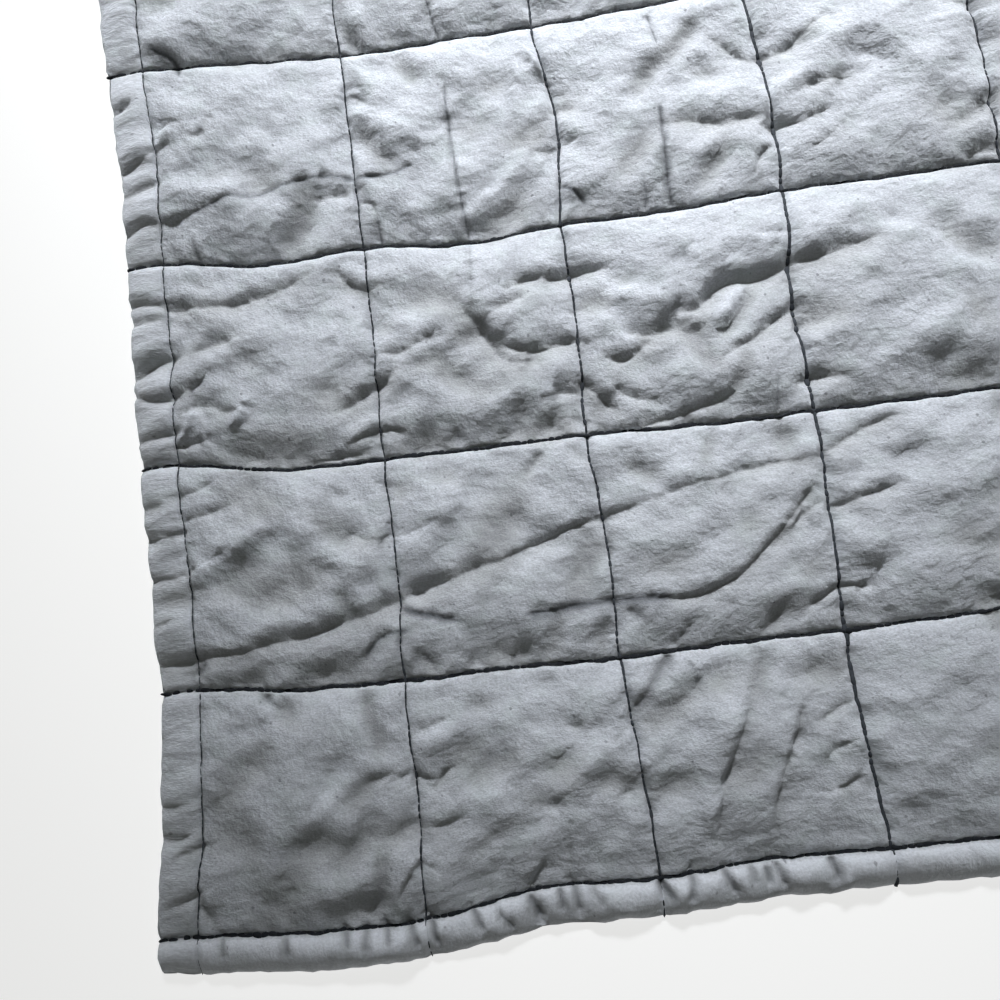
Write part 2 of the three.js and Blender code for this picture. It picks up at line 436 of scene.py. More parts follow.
@dataclass(frozen=True)
class Crease:
    """A crease of the face, in millimetres from the near left crossing.

    It runs smoothly through its points. Its strength is judged, from 1 for a faint crease to 6 for the
    strongest. The flank to the left of its way is far wide and the one to the right is near wide. A
    rolled crease has its foot as a sharp line, and a soft one is a rounded hollow, or a raised fold
    where its strength is below zero.
    """

    points: tuple[Pair, ...]
    strength: float
    far: float
    near: float
    fold: Fold = Fold.ROLLED
    steps_between: ClassVar[int] = 6
    slim: ClassVar[float] = 2.6
    least_level: ClassVar[float] = 0.45
    level_enough: ClassVar[float] = 0.9
    level_power: ClassVar[float] = -0.8
    steepest: ClassVar[float] = 1.2
    steepest_raised: ClassVar[float] = 1.3
    long_enough: ClassVar[float] = 3.5
    least_short: ClassVar[float] = 0.6
    deepest: ClassVar[float] = 4.0
    highest: ClassVar[float] = 3.0
    furthest: ClassVar[float] = 2.6
    at_end: ClassVar[float] = 0.4
    fading: ClassVar[float] = 1.3
    end_share: ClassVar[float] = 0.8
    least_end: ClassVar[float] = 2.5
    least_power: ClassVar[float] = 2.0
    steep_foot: ClassVar[float] = 3.5
    lip: ClassVar[float] = 0.4
    narrow: ClassVar[float] = 2.5
    least_carried: ClassVar[float] = 5.0
    soft_shade: ClassVar[float] = 0.25
    upright_shade: ClassVar[float] = 0.09

    @property
    def widest(self) -> float:
        """The width of its wider flank."""
        return max(self.far, self.near)

    @property
    def way(self) -> Array:
        """The direction from its first point to its last, of length 1."""
        way = np.subtract(self.points[-1], self.points[0])
        return way / np.hypot(*way)

    @property
    def slope(self) -> float:
        """How steep its flanks are: steeper where it runs away from the near edge, or is long.

        Returns:
            The slope, below zero for a raised fold.
        """
        judged = float(np.interp(abs(self.strength), range(len(SLOPES)), SLOPES))
        if self.widest > self.slim:
            middle = sum(y for _, y in self.points) / len(self.points)
            judged *= next(share for limit, share in PRESSED if middle < limit)
        level = max(abs(float(self.way[0])), self.least_level)
        steeper = judged if level > self.level_enough else judged * level**self.level_power
        if self.strength < 0:
            return -min(steeper, self.steepest_raised)
        straight = sum(math.dist(start, end) for start, end in zip(self.points, self.points[1:]))
        short = max(min(straight / (self.long_enough * self.widest), 1), self.least_short)
        return short * min(steeper, max(judged, self.steepest))

    @property
    def power(self) -> float:
        """How fast the far flank of a rolled crease flattens out above its foot."""
        return max(self.least_power, self.far / self.steep_foot)

    @property
    def depth(self) -> float:
        """How deep the crease is in its middle.

        Returns:
            The depth in millimetres, below zero for a raised fold.
        """
        if self.fold is Fold.ROLLED:
            return self.slope * self.far / self.power
        depth = self.slope * self.widest * math.sqrt(math.e / 2)
        return max(min(depth, self.deepest), -self.highest)

    def shade(self) -> float:
        """How much the crease shades itself for each millimetre of its depth."""
        if self.near < self.narrow:
            return 1.0 if self.fold is Fold.ROLLED else self.soft_shade
        return self.upright_shade * float(self.way[1]) ** 2

    def length(self) -> float:
        """The crease's length from its first point to its last."""
        return float(np.hypot(*np.diff(self.route(), axis=0).T).sum())

    def route(self) -> Array:
        """The crease's route, with a few steps from point to point.

        Returns:
            The places that the route passes through, one row each.
        """
        points = np.array(self.points, float)
        last = len(points) - 1
        steps = np.linspace(0, last, self.steps_between * last + 1)
        return np.stack([smooth_through(points[:, 0], steps), smooth_through(points[:, 1], steps)], 1)

    def within(self, x: Array, y: Array, reach: float) -> Array:
        """Whether points lie in the box that is wider than the crease on every side.

        Args:
            x: places to the right of the near left crossing.
            y: places away from the near edge.
            reach: how much wider the box is.

        Returns:
            True for each point that lies in the box.
        """
        low_x, low_y = np.array(self.points).min(axis=0) - reach
        high_x, high_y = np.array(self.points).max(axis=0) + reach
        return (x > low_x) & (x < high_x) & (y > low_y) & (y < high_y)

    def beside(self, x: Array, y: Array) -> tuple[Array, Array, Array]:
        """Where points lie beside the crease.

        Args:
            x: places to the right of the near left crossing.
            y: places away from the near edge.

        Returns:
            How far each point lies to the left of the crease, how far it lies past its ends, and how
            far along it the nearer end is.
        """
        route = self.route()
        best = np.full(x.shape, np.inf)
        left = np.zeros(x.shape)
        past = np.zeros(x.shape)
        along = np.zeros(x.shape)
        last = len(route) - 2
        passed = 0.0
        whole = self.length()
        for number, (start, end) in enumerate(zip(route, route[1:])):
            way = end - start
            length = float(np.hypot(*way))
            way = way / length
            from_x = x - start[0]
            from_y = y - start[1]
            run = from_x * way[0] + from_y * way[1]
            inside = np.clip(run, 0, length)
            off_x = from_x - inside * way[0]
            off_y = from_y - inside * way[1]
            apart = np.hypot(off_x, off_y)
            nearer = apart < best
            best = np.where(nearer, apart, best)
            turn = np.where(off_y * way[0] - off_x * way[1] >= 0, 1.0, -1.0)
            left = np.where(nearer, turn * apart, left)
            low_end = -run if number == 0 else np.zeros(x.shape)
            high_end = run - length if number == last else np.zeros(x.shape)
            past = np.where(nearer, np.maximum(np.maximum(low_end, high_end), 0), past)
            to_end = np.minimum(passed + inside, whole - passed - inside)
            along = np.where(nearer, to_end, along)
            passed += length
        return left, past, along

    def depth_at(self, x: Array, y: Array) -> Array:
        """How deep the crease is at points of the face.

        Args:
            x: places to the right of the near left crossing.
            y: places away from the near edge.

        Returns:
            The depth at each point, in millimetres.
        """
        close = self.within(x, y, self.furthest * self.widest)
        depths = np.zeros(x.shape)
        if not close.any():
            return depths
        left, past, along = self.beside(x[close], y[close])
        inner = np.clip(along / min(self.fading * self.widest, self.length() / 2), 0, 1)
        fade = self.at_end + (1 - self.at_end) * inner**2 * (3 - 2 * inner)
        if self.fold is Fold.ROLLED:
            flank = (1 - np.clip(left / self.far, 0, 1)) ** self.power
            lip = (np.exp(left / self.near) + np.exp(left / (self.lip * self.near))) / 2
            share = np.where(left > 0, flank, lip)
        else:
            share = bell(left, np.where(left > 0, self.far, self.near))
        ends = bell(past, max(self.end_share * self.widest, self.least_end))
        depths[close] = self.depth * fade * share * ends
        return depths

    def follows(self, x: Array, y: Array, band: float) -> Array:
        """Whether points lie close beside the crease's line.

        Args:
            x: places to the right of the near left crossing.
            y: places away from the near edge.
            band: how far away a point is close.

        Returns:
            True for each close point.
        """
        close = self.within(x, y, band)
        if close.any():
            left, _, _ = self.beside(x[close], y[close])
            close[close] = np.abs(left) < band
        return close

    def carried(self, move: Pair, turned: bool = False) -> "Crease":
        """A softer copy of the crease elsewhere on the quilt.

        Args:
            move: how far it is moved, across and away from the near edge.
            turned: whether it is turned half round first.

        Returns:
            The copy.
        """
        way = -1 if turned else 1
        points = tuple((way * x + move[0], way * y + move[1]) for x, y in self.points)
        far = max(self.far, self.least_carried)
        near = max(self.near, self.least_carried)
        return Crease(points, self.strength, far, near, self.fold)


SOFT = Fold.SOFT

# How steep the flanks of a crease are at each whole step of its strength, from 0 to 6
SLOPES = (0, 0.20, 0.38, 0.62, 0.98, 1.25, 1.6)

# How much more the creases are pressed in than judged, up to each distance from the near seam
PRESSED = ((8, 1.0), (95, 1.35), (300, 1.2), (math.inf, 0.92))

# Creases of the near left corner: points, strength, widths of the far and the near flank, kind
CORNER_CREASES = (
    # Near row, first square
    (((-17, 40), (-6, 40), (1, 42)), 4, 4, 3),
    (((-8, 33), (1, 35), (9, 36)), 4, 3.5, 3),
    (((8, 36), (16, 38), (24, 38), (28, 31), (29, 20)), 2.5, 9, 8, SOFT),
    (((-17, 54), (-6, 54), (2, 55)), 3, 5, 3),
    (((8, 53), (15, 53), (22, 56)), 3, 5, 4, SOFT),
    (((-14, 11), (-7, 13), (0, 15.5), (4, 18)), 4, 4, 3),
    (((0, 12), (3, 7), (6, 3)), 3, 2.5, 2.5, SOFT),
    (((29, 1), (38, 12), (46, 22), (53, 30)), 2.2, 8, 8, SOFT),
    (((47, 32), (56, 31), (65, 34)), 2.2, 7, 6, SOFT),
    (((63, 20), (71, 27), (78, 34), (83, 39)), 2, 5, 5, SOFT),
    (((82, 93), (84, 83), (86, 74), (87, 66)), 3, 3, 3, SOFT),
    (((69, 46), (76, 51), (82, 56)), 3, 4, 4, SOFT),
    (((81, 57), (87, 57), (93, 60)), 3, 7, 3),
    (((90, 54), (96, 56), (101, 58)), 3, 4, 3),
    (((83, 30), (92, 33), (100, 37)), 2, 5, 5, SOFT),
    (((92, 33), (101, 33.5), (110, 34), (119, 36)), 3, 5, 6),
    (((89, 5), (92, 11.5), (96, 16.5), (101, 19)), 2.2, 3, 2.6),
    (((101, 19), (105, 17), (109, 13)), 2.4, 3, 3),
    (((76, -1), (80, 6), (82, 14), (83, 26)), 3, 3, 3, SOFT),
    (((57, 1), (70, 2), (81, 4)), 2, 8, 4, SOFT),
    (((34, 86), (39, 92), (43, 98)), -2, 2.5, 2.5, SOFT),
    (((36, 99), (39, 93)), 2.5, 3, 2, SOFT),
    (((42, 94), (46, 89), (50, 83)), 2.5, 5, 4, SOFT),
    (((17, 62), (27, 66), (37, 75)), 1.8, 7, 6, SOFT),
    (((34, 22), (35, 32), (33, 42)), -1.8, 9, 8, SOFT),
    # Near row, second square
    (((101, 73), (106, 75), (112, 77), (119, 80)), 3, 5, 4),
    (((97, 56), (102, 56), (107, 54), (112, 54)), 3, 4, 4),
    (((108, 49), (112, 53), (116, 57), (122, 59)), 3.5, 4, 5),
    (((117, 65), (124, 64), (131, 66)), 3, 6, 5, SOFT),
    (((124, 57), (129, 53), (135, 51)), 3, 5, 5, SOFT),
    (((133, 57), (141, 58), (149, 61)), 2, 5, 5, SOFT),
    (((129, 84), (134, 82), (138, 83)), 3, 4, 3, SOFT),
    (((170, 70), (174, 69), (178, 71)), 2.5, 3, 2.5, SOFT),
    (((157, 54), (165, 52), (173, 55)), 3, 6, 5, SOFT),
    (((147, 43), (153, 40), (159, 43)), 2, 5, 4, SOFT),
    (((158, 35), (166, 42), (173, 49)), 2, 2.5, 2.5, SOFT),
    (((166, 22), (164.5, 13), (163, 5)), 3.1, 2.2, 2.5),
    (((144, 2), (149, 8), (154, 15)), 3, 3, 3),
    (((118, 18), (129, 25), (139, 31), (146, 36)), 1.8, 3, 3, SOFT),
    (((187, 37), (193, 39), (199, 40)), 3, 4, 4),
    (((200, 38), (208, 38.5), (216, 40), (224, 43)), 1.5, 6, 5, SOFT),
    (((189, 61), (194, 65), (198, 67)), 3, 2.5, 2.5),
    (((177, 43), (187, 44), (197, 47)), 2, 5, 5, SOFT),
    (((108, 68), (116, 71), (122, 74)), -1.8, 6, 5, SOFT),
    (((126, 40), (134, 42), (140, 38)), -1.5, 6, 6, SOFT),
    # Near row, third square
    (((199, 73), (204, 77), (209, 83), (214, 89), (220, 96)), 3, 2.4, 2.4, SOFT),
    (((200, 68), (207, 68), (214, 70), (222, 75), (229, 79)), 1.8, 6, 5, SOFT),
    (((226, 92), (229, 87), (230, 81)), 1.7, 1.8, 2),
    (((253, 73), (256, 82), (259, 90)), 2.6, 4, 4, SOFT),
    (((229, 15), (231, 27), (234, 37), (239, 48), (245, 60), (250, 71)), 3.4, 4, 5),
    (((253, 13), (255, 26), (258, 36), (264, 48), (269, 57), (273, 69)), 3.2, 4, 5),
    (((223, 20), (227, 32), (231, 44), (237, 58), (243, 70)), -2.6, 4, 4, SOFT),
    (((278, 60), (285, 62.5), (290, 65), (296, 67)), 4, 4, 4),
    (((280, 45), (287, 48), (294, 51)), 3.6, 4, 4),
    (((279, 30), (287, 32), (295, 35)), 3.8, 5, 4),
    (((274, 79), (282, 80), (290, 81), (295, 84)), 2, 7, 6, SOFT),
    (((235, 40), (244, 42), (253, 48)), 2, 6, 5, SOFT),
    (((230, 80), (239, 81), (248, 85)), 2, 6, 5, SOFT),
    # Second row, first square
    (((-17, 113.5), (-10, 114.6), (0, 116.2), (10, 117), (20, 118), (32, 118.7), (40, 120.3), (51, 121),
        (60, 122.5), (70, 125), (80, 127), (90, 128.8), (101, 132), (110, 134.8), (118, 137.5)),
        3.7, 8, 7),
    (((5, 110), (9, 112), (12, 117)), 3, 2.5, 2, SOFT),
    (((-17, 154), (-5, 154.3), (5, 155), (9, 156.5)), 4, 5, 3),
    (((4, 157), (12, 159), (20, 161.5), (27, 165), (33, 168)), 2.8, 5, 4),
    (((10, 153), (22, 160), (34, 167), (47, 174)), -2, 6, 5, SOFT),
    (((17, 146), (30, 147), (42, 141), (50, 140), (60, 145), (73, 149)), 2.7, 13, 6, SOFT),
    (((26, 193), (35, 189), (42, 184), (51, 177)), 3, 7, 6, SOFT),
    (((4, 179.5), (12, 181), (20, 183), (29, 186)), 3.2, 5, 4),
    (((-17, 188), (-6, 188), (3, 190)), 4, 8, 4),
    (((2, 192), (12, 193), (21, 197)), 3, 4, 3),
    (((-17, 173), (-3, 174), (9, 175)), 4, 4, 3),
    (((-17, 134), (-8, 134), (0, 137)), 3, 5, 3),
    (((-10, 144), (2, 145), (11, 148)), 2.5, 5, 4, SOFT),
    (((62, 172), (70, 168), (78, 162), (84, 157)), 3, 8, 6, SOFT),
    (((57, 173), (66, 166), (74, 158), (83, 149)), -2.5, 5, 5, SOFT),
    (((83, 165), (90, 161.5), (96, 161.5), (102, 163)), 3.5, 5, 5),
    (((75, 140), (78, 133), (80, 125)), 3, 3, 3, SOFT),
    (((84, 109), (87, 113.5), (91, 117.2), (97, 119), (106, 119.5)), 3.4, 2.6, 2),
    (((27, 103), (33, 105), (41, 109)), 2, 5, 4, SOFT),
    (((57, 103), (70, 104), (83, 106)), 1.4, 8, 5, SOFT),
    (((30, 174), (38, 173), (44, 169)), 2, 6, 5, SOFT),
    # Second row, second square
    (((92, 129.6), (101, 132), (110, 134.8), (122, 138.3), (135, 142), (147, 144.8)), 4.8, 10, 6),
    (((132, 141.2), (150, 145.5), (160, 149), (170, 152), (180, 155.5), (190, 158), (197, 158.5),
        (204, 158.7)), 4.6, 4.2, 6),
    (((102, 129), (110, 126), (118, 123.5), (127, 121)), 4, 4, 1.5),
    (((158, 120.3), (172, 121), (185, 121.7), (197, 122), (208, 121.6), (222, 121)), 4.4, 3, 2.4),
    (((179, 120), (184, 132), (190, 143), (198, 149)), 2.2, 6, 5, SOFT),
    (((139, 145), (148, 155), (155, 165), (161, 177)), 2.6, 12, 8, SOFT),
    (((164, 181), (169, 187), (175, 193)), 3, 2.6, 2.6, SOFT),
    (((186, 192), (191, 188), (197, 184)), 2, 3, 3, SOFT),
    (((120, 188), (128, 186), (136, 183)), 2, 5, 4, SOFT),
    (((102, 184), (107, 182), (113, 184)), 3, 5, 4, SOFT),
    (((105, 148), (116, 158), (124, 168), (131, 175)), -1.7, 7, 6, SOFT),
    (((103, 161), (112, 163), (123, 167)), 2.2, 5, 4),
    (((135, 103), (145, 104), (153, 106)), 2, 8, 5, SOFT),
    (((109, 109), (112, 105), (116, 99)), 2, 2.2, 2.2, SOFT),
    (((149, 99), (154, 103), (159, 109)), 3, 3, 3, SOFT),
    (((163, 100), (168, 105), (172, 111)), 2.5, 3, 3, SOFT),
    (((166, 110), (171, 115), (175, 119)), 2, 3, 3, SOFT),
    (((189, 99), (190, 107), (194, 114)), 1.6, 3, 3, SOFT),
    (((132, 105), (131, 98)), 1.7, 1.8, 2),
    # Second row, third square
    (((198, 160.5), (206, 161), (214, 163)), 4, 4, 3),
    (((213, 163), (224, 165.5), (234, 168), (243, 170)), 2.5, 4, 6),
    (((242, 169.5), (250, 170.5), (259, 172)), 4, 3.5, 6),
    (((256, 171.5), (264, 173), (275, 174.5), (286, 174.5), (298, 175)), 4, 5, 8),
    (((297, 175), (304, 178), (312, 182), (321, 186), (335, 190)), 4.8, 5, 6),
    (((222, 119.5), (234, 119.8), (243, 122), (252, 125.5), (260, 131), (270, 140), (280, 149),
        (286, 155.5), (292, 162)), 5, 4.5, 5),
    (((270, 137), (277, 143), (284, 148.5), (290, 152.5), (296, 155)), 4, 3, 3),
    (((297, 151), (304, 152), (312, 154.5), (320, 156), (331, 159)), 4.8, 5, 4),
    (((282, 109), (289, 112.5), (295, 116), (302, 116), (312, 115)), 4.8, 4, 3),
    (((211, 182), (218, 177.5), (225, 174)), 3.5, 4, 3.5, SOFT),
    (((244, 177), (248, 184), (251, 191)), 2, 3, 3, SOFT),
    (((282, 179), (284, 186), (282, 193)), 2, 6, 4, SOFT),
    (((253, 147), (262, 148), (269, 152)), 2, 6, 5, SOFT),
    (((211, 136), (222, 135), (235, 137)), 1.6, 6, 6, SOFT),
    (((277, 127), (285, 126), (293, 129)), 2, 6, 5, SOFT),
    (((203, 118), (208, 113), (212, 109)), 2, 2.4, 2.4, SOFT),
    (((220, 99), (225, 103), (231, 108)), 2, 2.2, 2.2, SOFT),
    (((261, 99), (265, 104), (270, 109)), 3, 3, 3, SOFT),
    (((265, 110), (274, 110), (283, 113)), 1.2, 7, 5, SOFT),
    # Third row, first square
    (((-17, 285), (-8, 285.5), (0, 284), (9, 280.5)), 4, 6, 3),
    (((-17, 277), (-6, 276.5), (4, 277)), 4, 4, 3),
    (((5, 280.5), (18, 280.5), (30, 280), (46, 281)), 4, 8, 8),
    (((40, 280.5), (50, 282), (60, 284), (70, 288), (77, 292)), 3, 8, 8),
    (((88, 289), (93, 283), (98, 279.5), (102, 279), (108, 279.5)), 4, 7, 6),
    (((-17, 249), (-9, 251), (-3, 254.5), (3, 256.5), (10, 257.5)), 4, 6, 5),
    (((7, 258), (16, 258), (24, 260), (34, 262), (43, 265)), 3, 9, 6),
    (((-17, 243), (-9, 240), (-2, 237.5), (5, 237.5), (12, 240), (19, 243)), 4, 8, 4),
    (((10, 229), (17, 233), (24, 232), (31, 228.5), (39, 230)), 3, 7, 6),
    (((-17, 219.5), (-8, 219.5), (2, 221), (10, 222)), 3.5, 6, 4),
    (((1, 215), (7, 215), (13, 215.5), (21, 217)), 4, 4, 3),
    (((8, 218), (13, 224), (17, 231)), -2, 2.2, 2.2, SOFT),
    (((31, 208), (45, 206), (58, 207), (71, 208)), 1.8, 12, 8, SOFT),
    (((32, 219), (37, 226), (42, 235)), -1.6, 2.5, 2.5, SOFT),
    (((81, 221), (88, 224), (95, 228), (101, 231), (107, 234), (112, 239)), 4.7, 7, 7),
    (((85, 206), (92, 209), (99, 211), (106, 211), (113, 209)), 4, 4, 4),
    (((69, 200), (80, 201), (93, 202)), 3, 6, 4),
    (((69, 231), (78, 230), (88, 233)), 2.6, 8, 7, SOFT),
    (((19, 293), (24, 290), (28, 292)), 2, 4, 4, SOFT),
    (((36, 252), (43, 250), (50, 253)), 1.6, 5, 5, SOFT),
    # Third row, second square
    (((103, 247), (112, 246.5), (120, 248), (127, 251)), 3, 8, 5),
    (((102, 260), (107, 259), (113, 260)), 3, 5, 4, SOFT),
    (((119, 238), (126, 239.5), (132, 242)), 3, 3, 3, SOFT),
    (((128, 240), (136, 233), (142, 229), (149, 230)), 3, 6, 5, SOFT),
    (((119, 272), (129, 269), (138, 266), (143, 260)), 3, 8, 6, SOFT),
    (((141, 252), (146, 250), (151, 254)), 4, 4, 3.5, SOFT),
    (((145, 263), (151, 254), (156, 245), (161, 238), (168, 235), (177, 235)), 4.7, 7, 8),
    (((156, 257), (163, 261.5), (170, 264), (178, 266)), 3, 6, 6),
    (((167, 270), (176, 273), (184, 273), (190, 272), (197, 273.5), (204, 274), (213, 275)), 4.7, 6, 5),
    (((161, 245), (168, 240.5), (176, 239.5), (186, 240), (198, 242)), 4.7, 6, 6),
    (((180, 216), (182, 223), (184, 230)), -1.6, 1.8, 1.8, SOFT),
    (((177, 217), (186, 218.5), (193, 218), (199, 219)), 3, 6, 5),
    (((191, 223), (197, 221), (202, 216), (206, 211), (211, 207)), 4.8, 6, 6),
    (((112, 201), (122, 201), (133, 202)), 2, 8, 5, SOFT),
    (((136, 209), (137, 201)), 1.3, 2.2, 2.4),
    (((167, 201), (178, 201), (189, 202)), 2.5, 8, 5, SOFT),
    (((164, 215), (169, 209)), 3, 3, 3, SOFT),
    (((154, 203), (159, 201), (164, 203)), 3, 3, 3, SOFT),
    (((143, 224), (152, 223), (161, 226)), 2, 4, 4, SOFT),
    (((152, 293), (151, 280), (150, 265)), 1, 1.8, 2),
    # Third row, third square
    (((210, 219), (215, 214), (221, 211), (231, 211)), 3, 5, 5),
    (((207, 233), (214, 229.5), (220, 230.5), (225, 234), (232, 239)), 4, 6, 6),
    (((208, 250), (213, 243), (219, 235)), -2.5, 3, 3, SOFT),
    (((197, 257), (206, 258), (216, 261)), 3, 5, 5, SOFT),
    (((216, 269), (221, 266), (227, 268)), 3, 4, 4, SOFT),
    (((245, 249), (252, 249), (257, 253), (263, 258), (270, 260), (280, 260), (290, 262), (299, 265)),
        5.4, 9, 7),
    (((298, 266), (306, 266.5), (316, 268), (326, 270), (339, 273)), 5.4, 11, 8),
    (((221, 241), (229, 239.5), (236, 241), (243, 241), (249, 238.5), (255, 241)), 5.4, 11, 6),
    (((213, 265), (222, 260), (230, 256), (241, 253)), -3, 5, 5, SOFT),
    (((228, 260), (238, 258), (247, 259)), -3, 6, 6, SOFT),
    (((248, 260), (256, 267), (266, 273), (281, 276), (300, 280), (320, 284), (338, 288)), -3, 9, 9, SOFT),
    (((242, 250), (246, 256)), 3, 3, 3, SOFT),
    (((259, 240), (266, 247), (271, 253), (277, 259)), -3, 4, 4, SOFT),
    (((261, 236), (268, 241), (273, 247), (279, 255)), 4, 3, 3, SOFT),
    (((261, 225), (269, 229.5), (275, 232), (282, 236), (289, 240.5), (298, 245)), 4.8, 5, 7),
    (((245, 243), (250, 233), (254, 226), (259, 220)), 3, 4, 4, SOFT),
    (((263, 210), (268, 217), (272, 225)), 2.5, 3, 3, SOFT),
    (((220, 198), (234, 201), (246, 203.5), (258, 206.5), (267, 210)), 3.4, 5, 5),
    (((284, 214), (283, 206), (283, 198)), 2.1, 1.8, 2),
    (((292, 234), (300, 235), (309, 236)), 3, 4, 4),
    (((298, 240), (308, 239), (321, 240)), 2.5, 7, 6, SOFT),
    (((293, 209), (300, 211), (306, 211), (314, 210)), 5.4, 8, 5),
    (((281, 281), (290, 280.5), (299, 281)), 3, 4, 4),
    (((258, 286), (253, 278), (250, 271), (248, 261)), 1.7, 2.2, 2.5),
    (((267, 272), (275, 273), (283, 275)), 2, 4, 4, SOFT),
    # Fourth row, first square
    (((-17, 321), (-10, 321.5), (-4, 323.5), (3, 324), (11, 324.5)), 4, 6, 4),
    (((8, 324), (16, 325), (27, 327.5)), 4, 3, 6),
    (((24, 327), (34, 329.5), (42, 331.5), (52, 331), (62, 333), (72, 335), (80, 336), (90, 336.5),
        (101, 334)), 3.8, 2, 2),
    (((95, 334.3), (101, 333.5), (110, 333), (118, 333.3), (124, 334.5), (130, 337)), 4.2, 2, 2),
    (((-17, 341), (-8, 341), (0, 343), (8, 345)), 4, 6, 4),
    (((-17, 352), (-9, 353.5), (-2, 356.5), (4, 360), (13, 364)), 4, 5, 4),
    (((7, 370), (14, 374), (19, 373), (23, 367), (27, 364), (32, 369), (36, 376)), 3, 4, 4),
    (((-17, 384), (-8, 386), (-2, 391)), 4, 5, 3),
    (((7, 415), (14, 411), (18.5, 407), (20, 399)), 4, 2.4, 1.8),
    (((49, 342), (57, 338), (65, 341)), 2.6, 8, 6, SOFT),
    (((66, 302), (71, 312), (75, 321), (77, 334)), 3.8, 5, 5, SOFT),
    (((83, 325), (91, 327), (98, 327), (105, 327)), 3.6, 6, 4),
    (((102, 321), (106, 320.5), (109, 318), (110, 313)), 4, 3, 2.6),
    (((110, 313), (110.5, 306), (110.5, 299)), 2.6, 1.6, 1.8),
    (((102, 376), (108, 373), (114, 368)), 4, 3, 4),
    (((100, 380), (105, 380), (109, 379)), 3.5, 2, 2),
    (((106, 361), (110, 353), (114, 345), (120, 336)), 2.2, 3.5, 4, SOFT),
    (((21, 314), (23, 306), (24, 300)), 2.1, 1.8, 2),
    (((29, 343), (36, 343), (43, 345)), 2, 5, 4, SOFT),
    (((7, 340), (18, 338), (28, 335.5), (41, 334)), -2, 5, 4, SOFT),
    (((102, 414), (106, 406), (107, 399)), 3, 3, 3, SOFT),
    (((61, 401), (69, 402), (76, 404)), 2.4, 5, 4, SOFT),
    (((43, 400), (51, 401), (59, 402)), 2.4, 4, 4, SOFT),
    # Fourth row, second square
    (((148.7, 372), (148.6, 362), (149, 348), (149.6, 334), (150.6, 318), (151.5, 306), (152.5, 295)),
        6, 1.4, 1.1),
    (((145, 419), (147, 408), (149, 399)), 6, 1.4, 1.1),
    (((160, 297), (167, 303), (173, 308), (181, 316)), 4.6, 6, 6, SOFT),
    (((127, 393), (131, 386), (136, 378)), 3, 4, 4, SOFT),
    (((102, 392), (110, 384), (119, 375)), -2, 4, 4, SOFT),
    (((102, 366), (110, 362), (120, 357), (133, 349)), -2, 4, 4, SOFT),
    (((165, 372), (171, 370), (178, 373)), 3, 5, 4, SOFT),
    (((151, 352), (158, 350), (166, 353)), 2.4, 6, 5, SOFT),
    (((173, 344), (181, 342), (188, 343), (195, 347)), 3, 6, 5, SOFT),
    (((186, 336), (193, 335), (199, 336)), 4, 4, 3),
    (((199, 337.5), (204, 338), (210, 341)), 4, 4, 3),
    (((192, 353.5), (200, 355), (206, 355), (211, 354)), 3, 5, 4),
    (((200, 356), (205, 356), (211, 357)), 2.6, 8, 5, SOFT),
    (((197.5, 317.5), (202, 315), (205.5, 312), (209, 306)), 4.6, 2.4, 2),
    (((189, 387), (194, 378), (198, 371)), -2, 2, 2, SOFT),
    (((225, 318), (231, 324), (237, 330), (244, 336)), 3, 5, 5, SOFT),
    (((236, 314), (237, 307), (236, 300)), 2.1, 1.8, 2),
    # Fourth row, third square
    (((249, 350), (248.5, 340), (248, 325), (248, 310), (249, 299)), 3, 2.2, 1.6),
    (((250, 398), (250.5, 388), (251.5, 379)), 3, 1.6, 1.2),
    (((238, 357), (243, 364), (249, 371)), 3, 4, 4, SOFT),
    (((251, 371), (259, 376), (265, 382), (271, 389)), 3, 5, 4, SOFT),
    (((276, 382), (283, 376), (288, 370.5), (293, 367.5), (299, 368)), 3.4, 6, 5),
    (((298, 367), (306, 369), (313, 371.5), (321, 377), (331, 383)), 4.8, 6, 7),
    (((265, 366), (272, 362.5), (279, 364)), 2.6, 5, 4, SOFT),
    (((249, 340), (258, 340.5), (268, 339), (277, 337), (286, 338.5), (299, 338)), 4.8, 8, 7),
    (((295, 333), (303, 332.5), (311, 333), (319, 335), (327, 337)), 4.6, 4.5, 4),
    (((315, 320), (322, 322), (328, 326), (336, 331)), 3.5, 4, 4),
    (((315, 349.5), (325, 350.5), (333, 352), (341, 352)), 4.6, 6, 5),
    (((289, 311), (292, 318), (295, 321.5), (300, 323)), 4, 2.5, 2.5),
    (((263, 310), (268, 315), (272, 320), (277, 326)), 4, 4, 4, SOFT),
    # Grooves across the near margin
    (((9, -1), (10, -6), (10, -12)), 2.5, 1.6, 1.6, SOFT),
    (((37, -5), (37.5, -9), (38, -14)), 2.5, 2, 2, SOFT),
    (((62, -3), (64, -8), (65, -13)), 3, 1.8, 1.8, SOFT),
    (((73, -5), (72.5, -9), (72, -15)), 2.6, 1.8, 1.8, SOFT),
    (((80.5, -2), (82, -7), (82.5, -13)), 3.6, 1.6, 1.6, SOFT),
    (((91, -3), (93, -9), (95, -16)), 4, 1.8, 1.8, SOFT),
    (((101, -3), (102, -9), (103.5, -16)), 3.6, 1.8, 1.8, SOFT),
    (((119, -2), (121, -6), (123.5, -12)), 4, 1.8, 1.8, SOFT),
    (((131, -4), (134, -8), (137, -13)), 3, 2, 2, SOFT),
    (((144, 1), (147, -4), (149, -11)), 4, 2.2, 2.2, SOFT),
    (((158, 3), (158.5, -2), (159, -8)), 4, 1.8, 1.8, SOFT),
    (((164, 5), (165, -1), (166, -9)), 4, 1.8, 1.8, SOFT),
    (((171, 2), (174, -2), (177, -7)), 2.4, 2, 2, SOFT),
